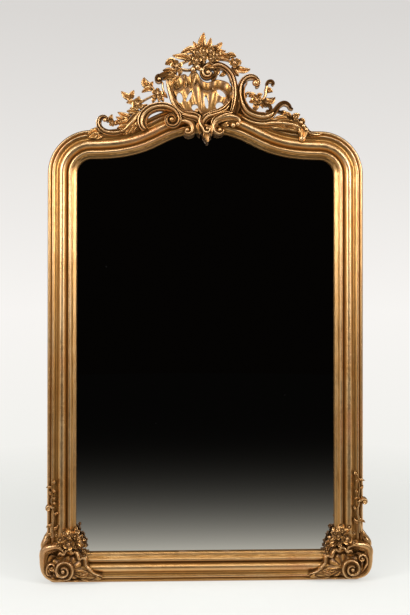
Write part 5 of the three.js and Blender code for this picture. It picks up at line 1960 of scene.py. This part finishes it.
@dataclass
class HangingGear:
    """The iron plates, rings and screws on the back."""

    nodes: dict[str, bpy.types.Object]
    material: bpy.types.Material
    rod: float = 2.5
    head: float = 2.6
    pitch: float = 1.5
    slot_width: float = 1.1
    slot_depth: float = 1.2

    def build(self) -> None:
        """Builds the hangers on both sides and the batten's screws."""
        for label in ("left", "right"):
            plate = eased_copy(self.nodes[f"hanger_plate_{label}"], 0.35)
            self.finish(f"hanger_plate_{label}", plate)
            self.ring(label)
            for index in (1, 2):
                self.screw(f"hanger_screw_{label}_{index}", 25.0 * index)
        for index in (1, 2):
            self.screw(f"crest_batten_screw_{index}", 15.0 + 60.0 * index)

    def finish(
        self, node: str, mesh: bmesh.types.BMesh, body: str = FRAME_BODY
    ) -> bpy.types.Object:
        """Makes the object of an iron piece.

        Args:
            node: The solid's name.
            mesh: The piece's mesh; it is freed.
            body: The body that it rides on.

        Returns:
            The object.
        """
        return finish_piece(
            f"{node}_forged", mesh, self.material, (node,), 40.0, body
        )

    def ring(self, label: str) -> None:
        """Bends a ring of round rod, with rounded corners at its straight bar.

        Args:
            label: Which side it is on.
        """
        node = f"hanging_ring_{label}"
        low, high = (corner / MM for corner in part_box(node))
        middle, hinge = (low.x + high.x) / 2, high.z - self.rod
        half, drop = (high.x - low.x) / 2 - self.rod, hinge - low.z - self.rod
        bow = [
            (half - 3, 0), (half - 0.6, -0.8), (half, -3.2), (half - 0.1, -drop * 0.3),
            (half * 0.87, -drop * 0.64), (half * 0.56, -drop * 0.9), (half * 0.2, -drop),
        ]
        outline = [*bow, *[(-x, z) for x, z in reversed(bow)], (-half * 0.4, 0), (half * 0.4, 0)]
        path = smooth_line([*outline[-2:], *outline, outline[0]], RING_PLACES)[RING_LEAD:-1]
        lap = next(
            i for i, p in enumerate(reversed(path)) if p.x < path[0].x and abs(p.y) < 0.5
        )
        path = path[: len(path) - lap]  # ends where the loop comes round to its start
        draft = Carving(node, (node,))
        y = (low.y + high.y) / 2
        count = len(path)

        def place(along: float, around: float) -> tuple[Vector, float]:
            """The point of the rod at two shares."""
            index = round(along * count) % count
            run = (path[(index + 1) % count] - path[index - 1]).normalized()
            angle = 2 * math.pi * around
            side = Vector((-run.y, run.x)) * (math.cos(angle) * self.rod)
            spot = path[index] + side
            return Vector((middle + spot.x, y + math.sin(angle) * self.rod, hinge + spot.y)), 0.0

        draft.sheet(count, 14, place)
        self.finish(node, draft.mesh, f"ring_{label}")

    def screw(self, node: str, turn: float) -> None:
        """Turns a round-headed screw and cuts its slot.

        Args:
            node: The solid's name.
            turn: Turn of its slot in degrees.
        """
        low, high = (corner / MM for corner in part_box(node))
        radius, back, tip = (high.x - low.x) / 2, high.y, low.y
        seat = back - self.head
        profile = [(0.0, back), (radius * 0.45, back - 0.15), (radius * 0.8, back - 0.8),
                   (radius, back - 1.9), (radius, seat), (1.9, seat), (1.9, seat - 4.0)]
        for step in range(round((seat - 8.0 - tip) / self.pitch)):
            crest = seat - 4.0 - self.pitch * step
            profile += [(1.45, crest - 0.4), (1.95, crest - 1.1)]
        profile += [(1.2, tip + 2.0), (0.0, tip)]
        x, z = (low.x + high.x) / 2, (low.z + high.z) / 2
        made = self.finish(node, turned(profile, x, z, 16))
        cutter = block_cutter(
            (-radius * 1.2, radius * 1.2),
            (back - self.slot_depth, back + 1.0),
            (-self.slot_width / 2, self.slot_width / 2),
        )
        cutter.data.transform(
            Matrix.Translation((x * MM, 0.0, z * MM)) @ Matrix.Rotation(math.radians(turn), 4, "Y")
        )
        cut_away(made, cutter)
        bpy.data.objects.remove(cutter)


# ---------------------------------------------------------------- stage


# name, place, aim, size and power of each soft light
SOFTBOXES = (
    ("softbox_left", (-2.1, -1.7, 1.95), (0.0, 0.0, 1.2), (0.9, 1.4), 54.0),
    ("softbox_right", (2.1, -1.7, 1.95), (0.0, 0.0, 1.2), (0.9, 1.4), 54.0),
    ("softbox_top", (0.0, -1.4, 3.2), (0.0, 0.0, 1.2), (1.8, 0.8), 24.0),
)


@dataclass
class Studio:
    """The camera, the floor, the backdrop and the lights."""

    eye: tuple[float, float, float] = (-0.0940, -3.1819, 1.0826)
    yaw: float = 0.0331
    pitch: float = 0.0077
    roll: float = 0.0009
    lens: float = 54.16
    shift: Point = (-0.0070, -0.0823)
    floor_radius: float = 6.0
    backdrop_top: Colour = (0.700, 0.680, 0.660)
    backdrop_middle: Colour = (0.935, 0.915, 0.890)
    backdrop_foot: Colour = (0.848, 0.856, 0.814)
    # colour of walls that only reflections show: a painted reflection
    painted_wall_reflection: Colour = (0.28, 0.26, 0.23)

    def build(self) -> None:
        """Builds the whole stage."""
        self.place_camera()
        self.lay_floor()
        self.paint_world()
        self.hang_lights()
        bpy.context.scene.view_settings.view_transform = "Standard"

    def place_camera(self) -> None:
        """Puts the camera at the photograph's viewing angle."""
        data = bpy.data.cameras.new("camera")
        data.lens = self.lens
        data.shift_x, data.shift_y = self.shift
        camera = bpy.data.objects.new("camera", data)
        forward = Vector(
            (
                math.sin(self.yaw) * math.cos(self.pitch),
                math.cos(self.yaw) * math.cos(self.pitch),
                math.sin(self.pitch),
            )
        )
        right = Vector((math.cos(self.yaw), -math.sin(self.yaw), 0.0))
        up = right.cross(forward)
        right, up = (
            right * math.cos(self.roll) + up * math.sin(self.roll),
            up * math.cos(self.roll) - right * math.sin(self.roll),
        )
        turn = Matrix((right, up, -forward)).transposed()
        camera.matrix_world = Matrix.Translation(self.eye) @ turn.to_4x4()
        bpy.context.scene.collection.objects.link(camera)
        bpy.context.scene.camera = camera

    def lay_floor(self) -> None:
        """Lays a round pale floor that fades into the backdrop."""
        mesh = bmesh.new()
        bmesh.ops.create_circle(mesh, cap_ends=True, segments=96, radius=self.floor_radius)
        data = bpy.data.meshes.new("floor")
        mesh.to_mesh(data)
        mesh.free()
        floor = bpy.data.objects.new("floor", data)
        bpy.context.scene.collection.objects.link(floor)
        data.materials.append(self.floor_material())

    def floor_material(self) -> bpy.types.Material:
        """The floor's finish.

        Returns:
            The material: pale, with the object's shadow, clear towards its rim; to glossy
            rays it glows with a painted reflection that darkens with the distance from it
            and shows painted walls to the sides.
        """
        graph = Graph(bpy.data.materials.new("floor"))
        place = graph.node("ShaderNodeTexCoord").outputs["Object"]
        axes = graph.node("ShaderNodeSeparateXYZ")
        graph.link(place, axes.inputs["Vector"])
        length = graph.node("ShaderNodeVectorMath", operation="LENGTH")
        graph.link(place, length.inputs[0])
        far = graph.ramp(length.outputs["Value"], [(0.9, 0.0), (2.6, 1.0)])
        rays = graph.node("ShaderNodeLightPath")
        lit = graph.node("ShaderNodeBsdfDiffuse")
        lit.inputs["Color"].default_value = (0.83, 0.83, 0.81, 1.0)
        glow = graph.node("ShaderNodeEmission")
        glow.inputs["Color"].default_value = (*self.backdrop_foot, 1.0)
        pale = graph.node("ShaderNodeMixShader")
        pale.inputs["Fac"].default_value = 0.6
        graph.link(lit.outputs[0], pale.inputs[1])
        graph.link(glow.outputs[0], pale.inputs[2])
        clear = graph.node("ShaderNodeBsdfTransparent")
        seen = graph.node("ShaderNodeMixShader")
        graph.link(far, seen.inputs["Fac"])
        graph.link(pale.outputs[0], seen.inputs[1])
        graph.link(clear.outputs[0], seen.inputs[2])
        # for glossy rays the floor glows: a painted reflection, bright near the frame and falling
        # off with the distance in front, with painted walls to the sides
        ahead = graph.math("MULTIPLY", axes.outputs["Y"], -1.0)
        painted_falloff = graph.math("POWER", 0.0578, graph.math("MAXIMUM", ahead, 0.0))
        wide = graph.math("DIVIDE", graph.math("ABSOLUTE", axes.outputs["X"]),
                          graph.math("MAXIMUM", ahead, 0.01))
        aside = graph.math("MULTIPLY", graph.ramp(wide, [(0.48, 0.0), (1.98, 1.0)]),
                           graph.ramp(length.outputs["Value"], [(1.5, 0.0), (5.5, 1.0)]))
        painted_reflection_glow = graph.node("ShaderNodeEmission")
        painted_floor_reflection = graph.mix(painted_falloff, (0.002, 0.0018, 0.0016), (1.24, 1.18, 1.04))
        graph.link(graph.mix(aside, painted_floor_reflection, self.painted_wall_reflection), painted_reflection_glow.inputs["Color"])
        other = graph.node("ShaderNodeMixShader")
        graph.link(rays.outputs["Is Glossy Ray"], other.inputs["Fac"])
        graph.link(lit.outputs[0], other.inputs[1])
        graph.link(painted_reflection_glow.outputs[0], other.inputs[2])
        final = graph.node("ShaderNodeMixShader")
        graph.link(rays.outputs["Is Camera Ray"], final.inputs["Fac"])
        graph.link(other.outputs[0], final.inputs[1])
        graph.link(seen.outputs[0], final.inputs[2])
        output = graph.node("ShaderNodeOutputMaterial")
        graph.link(final.outputs[0], output.inputs["Surface"])
        return graph.owner

    def paint_world(self) -> None:
        """Paints the backdrop that the camera sees and, for glossy rays only, a dark room: a painted
        reflection that the glass and the gilding show.
        """
        world = bpy.data.worlds.new("studio")
        bpy.context.scene.world = world
        graph = Graph(world)
        way = graph.node("ShaderNodeTexCoord").outputs["Generated"]
        axes = graph.node("ShaderNodeSeparateXYZ")
        graph.link(way, axes.inputs["Vector"])
        rise = axes.outputs["Z"]
        lower = graph.mix(
            graph.ramp(rise, [(-0.33, 0.0), (-0.05, 1.0)]),
            self.backdrop_foot,
            self.backdrop_middle,
        )
        backdrop = graph.mix(graph.ramp(rise, [(-0.05, 0.0), (0.26, 1.0)]), lower, self.backdrop_top)
        # the dark room that glossy rays see ahead is a painted reflection
        ahead = graph.ramp(axes.outputs["Y"], [(-0.9, 1.0), (-0.45, 0.0)])
        level = graph.ramp(rise, [(0.62, 1.0), (0.86, 0.0)])
        dark = graph.math("MULTIPLY", ahead, level)
        painted_wall_reflection = graph.mix(graph.ramp(rise, [(0.45, 0.0), (0.8, 1.0)]), self.painted_wall_reflection,
                          (0.13, 0.115, 0.10))
        painted_room_reflection = graph.mix(dark, painted_wall_reflection, (0.0018, 0.0014, 0.0011))
        rays = graph.node("ShaderNodeLightPath")
        glossy = graph.mix(rays.outputs["Is Glossy Ray"], (0.55, 0.55, 0.55), painted_room_reflection)
        shown = graph.mix(rays.outputs["Is Camera Ray"], glossy, backdrop)
        sky = graph.node("ShaderNodeBackground")
        graph.link(shown, sky.inputs["Color"])
        output = graph.node("ShaderNodeOutputWorld")
        graph.link(sky.outputs[0], output.inputs["Surface"])
        world.cycles.sampling_method = "NONE"

    def hang_lights(self) -> None:
        """Hangs the soft lights."""
        for name, spot, aim, size, power in SOFTBOXES:
            data = bpy.data.lights.new(name, "AREA")
            data.shape = "RECTANGLE"
            data.size, data.size_y = size
            data.energy = power
            light = bpy.data.objects.new(name, data)
            look = Vector(aim) - Vector(spot)
            turn = look.to_track_quat("-Z", "Y").to_matrix().to_4x4()
            light.matrix_world = Matrix.Translation(spot) @ turn
            bpy.context.scene.collection.objects.link(light)


# ---------------------------------------------------------------- everything else


def dress_solids(frame: dict, finishes: dict[str, bpy.types.Material]) -> None:
    """Gives the solids that stay in view their finish.

    Args:
        frame: The loaded frame.
        finishes: Material for each of the record's slots.
    """
    slots = {part["node"]: part["material_slot"] for part in frame["record"]["subparts"]}
    for name, node in frame["nodes"].items():
        node.data.materials.clear()
        node.data.materials.append(finishes[slots[name]])


def corners(material: bpy.types.Material) -> list[Corner]:
    """The two bottom corners.

    Args:
        material: The carving's finish.

    Returns:
        The corners, left and right.
    """
    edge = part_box("stile_right")[1].x / MM
    left = Corner(
        side=1,
        material=material,
        edge=edge,
        bulge=19,
        volute=(60, 52),
        curl=(20, 58),
        flowers=((78, 142, 21), (50, 158, 12), (98, 166, 12), (114, 150, 11), (124, 130, 11),
                 (62, 180, 9), (100, 130, 9), (80, 170, 9), (104, 182, 7), (128, 112, 8),
                 (44, 138, 9), (38, 176, 7)),
        mass=((34, 124), (28, 150), (32, 180), (56, 194), (76, 184), (98, 190), (112, 176),
              (124, 160), (132, 140), (136, 116), (122, 106), (86, 114)),
        ball=(7, 254, 14),
        stem=((22, 344), (17, 326), (21, 304), (16, 282), (20, 258), (24, 224), (18, 186),
              (20, 150)),
        vine=(
            ([(20, 334), (24, 342), (26, 352)], 4.5),
            ([(17, 322), (8, 327), (-3, 325)], 3.8),
            ([(18, 316), (26, 312), (29, 304)], 4.5),
            ([(20, 302), (12, 306), (9, 315)], 3.8),
            ([(17, 284), (25, 288), (28, 297)], 4.0),
            ([(18, 270), (26, 272), (32, 266)], 3.6),
            ([(24, 230), (34, 238), (42, 236)], 4.2),
            ([(18, 196), (8, 196), (-2, 190)], 4.8),
            ([(20, 184), (32, 188), (42, 200)], 5.0),
            ([(19, 170), (8, 166), (1, 158)], 4.6),
        ),
    )
    right = Corner(
        side=-1,
        material=material,
        edge=edge,
        bulge=27,
        volute=(44, 49),
        curl=(8, 80),
        flowers=((62, 152, 21), (56, 192, 11), (92, 160, 13), (110, 142, 11), (122, 120, 11),
                 (80, 182, 9), (88, 134, 9), (104, 166, 8), (128, 106, 8), (40, 140, 9),
                 (84, 198, 7), (40, 172, 8)),
        mass=((34, 122), (28, 152), (36, 188), (60, 204), (84, 192), (102, 180), (112, 164),
              (124, 146), (132, 122), (128, 102), (104, 108), (70, 118)),
        ball=(-2, 270, 15),
        stem=((24, 368), (17, 346), (14, 318), (17, 292), (15, 266), (22, 236), (16, 204),
              (12, 160)),
        vine=(
            ([(24, 358), (28, 366), (31, 376)], 4.5),
            ([(18, 346), (6, 344), (-5, 342)], 3.8),
            ([(16, 332), (22, 340), (20, 352)], 4.2),
            ([(14, 314), (6, 318), (2, 328)], 3.6),
            ([(17, 298), (24, 304), (25, 314)], 4.0),
            ([(16, 280), (24, 282), (32, 278)], 4.2),
            ([(22, 240), (30, 248), (33, 258)], 4.2),
            ([(18, 208), (6, 206), (-6, 198)], 4.8),
            ([(16, 196), (28, 204), (36, 216)], 5.0),
            ([(14, 172), (2, 162), (-12, 146)], 5.2),
        ),
    )
    return [left, right]


def main() -> None:
    """Builds the dressed mirror and its stage."""
    logging.basicConfig(format="%(name)s: %(message)s")
    LOG.setLevel(logging.INFO)
    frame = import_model()
    finishes = {
        "gilded_moulding": Gilding(
            "gilded_moulding", glaze_and_shade_colour=(0.20, 0.085, 0.010), glaze_and_shade_strength=0.8, glaze_and_shade_metal=0.8,
            wear=0.8,
        ).material(),
        "gilded_carving": Gilding("gilded_carving", wear=0.5, relief=0.0009).material(),
        "mirror_plate": SilveredGlass().material(),
        "back_wood": BareWood("back_wood").material(),
        "hanging_iron": DarkIron().material(),
    }
    dress_solids(frame, finishes)
    Moulding().build(finishes["gilded_moulding"])
    Crest(finishes["gilded_carving"]).build()
    for corner in corners(finishes["gilded_carving"]):
        corner.build()
    upright = BareWood("upright_wood", stretch=(14.0, 14.0, 1.0)).material()
    BackWork(frame["nodes"], finishes["back_wood"], upright).build()
    HangingGear(frame["nodes"], finishes["hanging_iron"]).build()
    Studio().build()


if __name__ == "__main__":
    main()
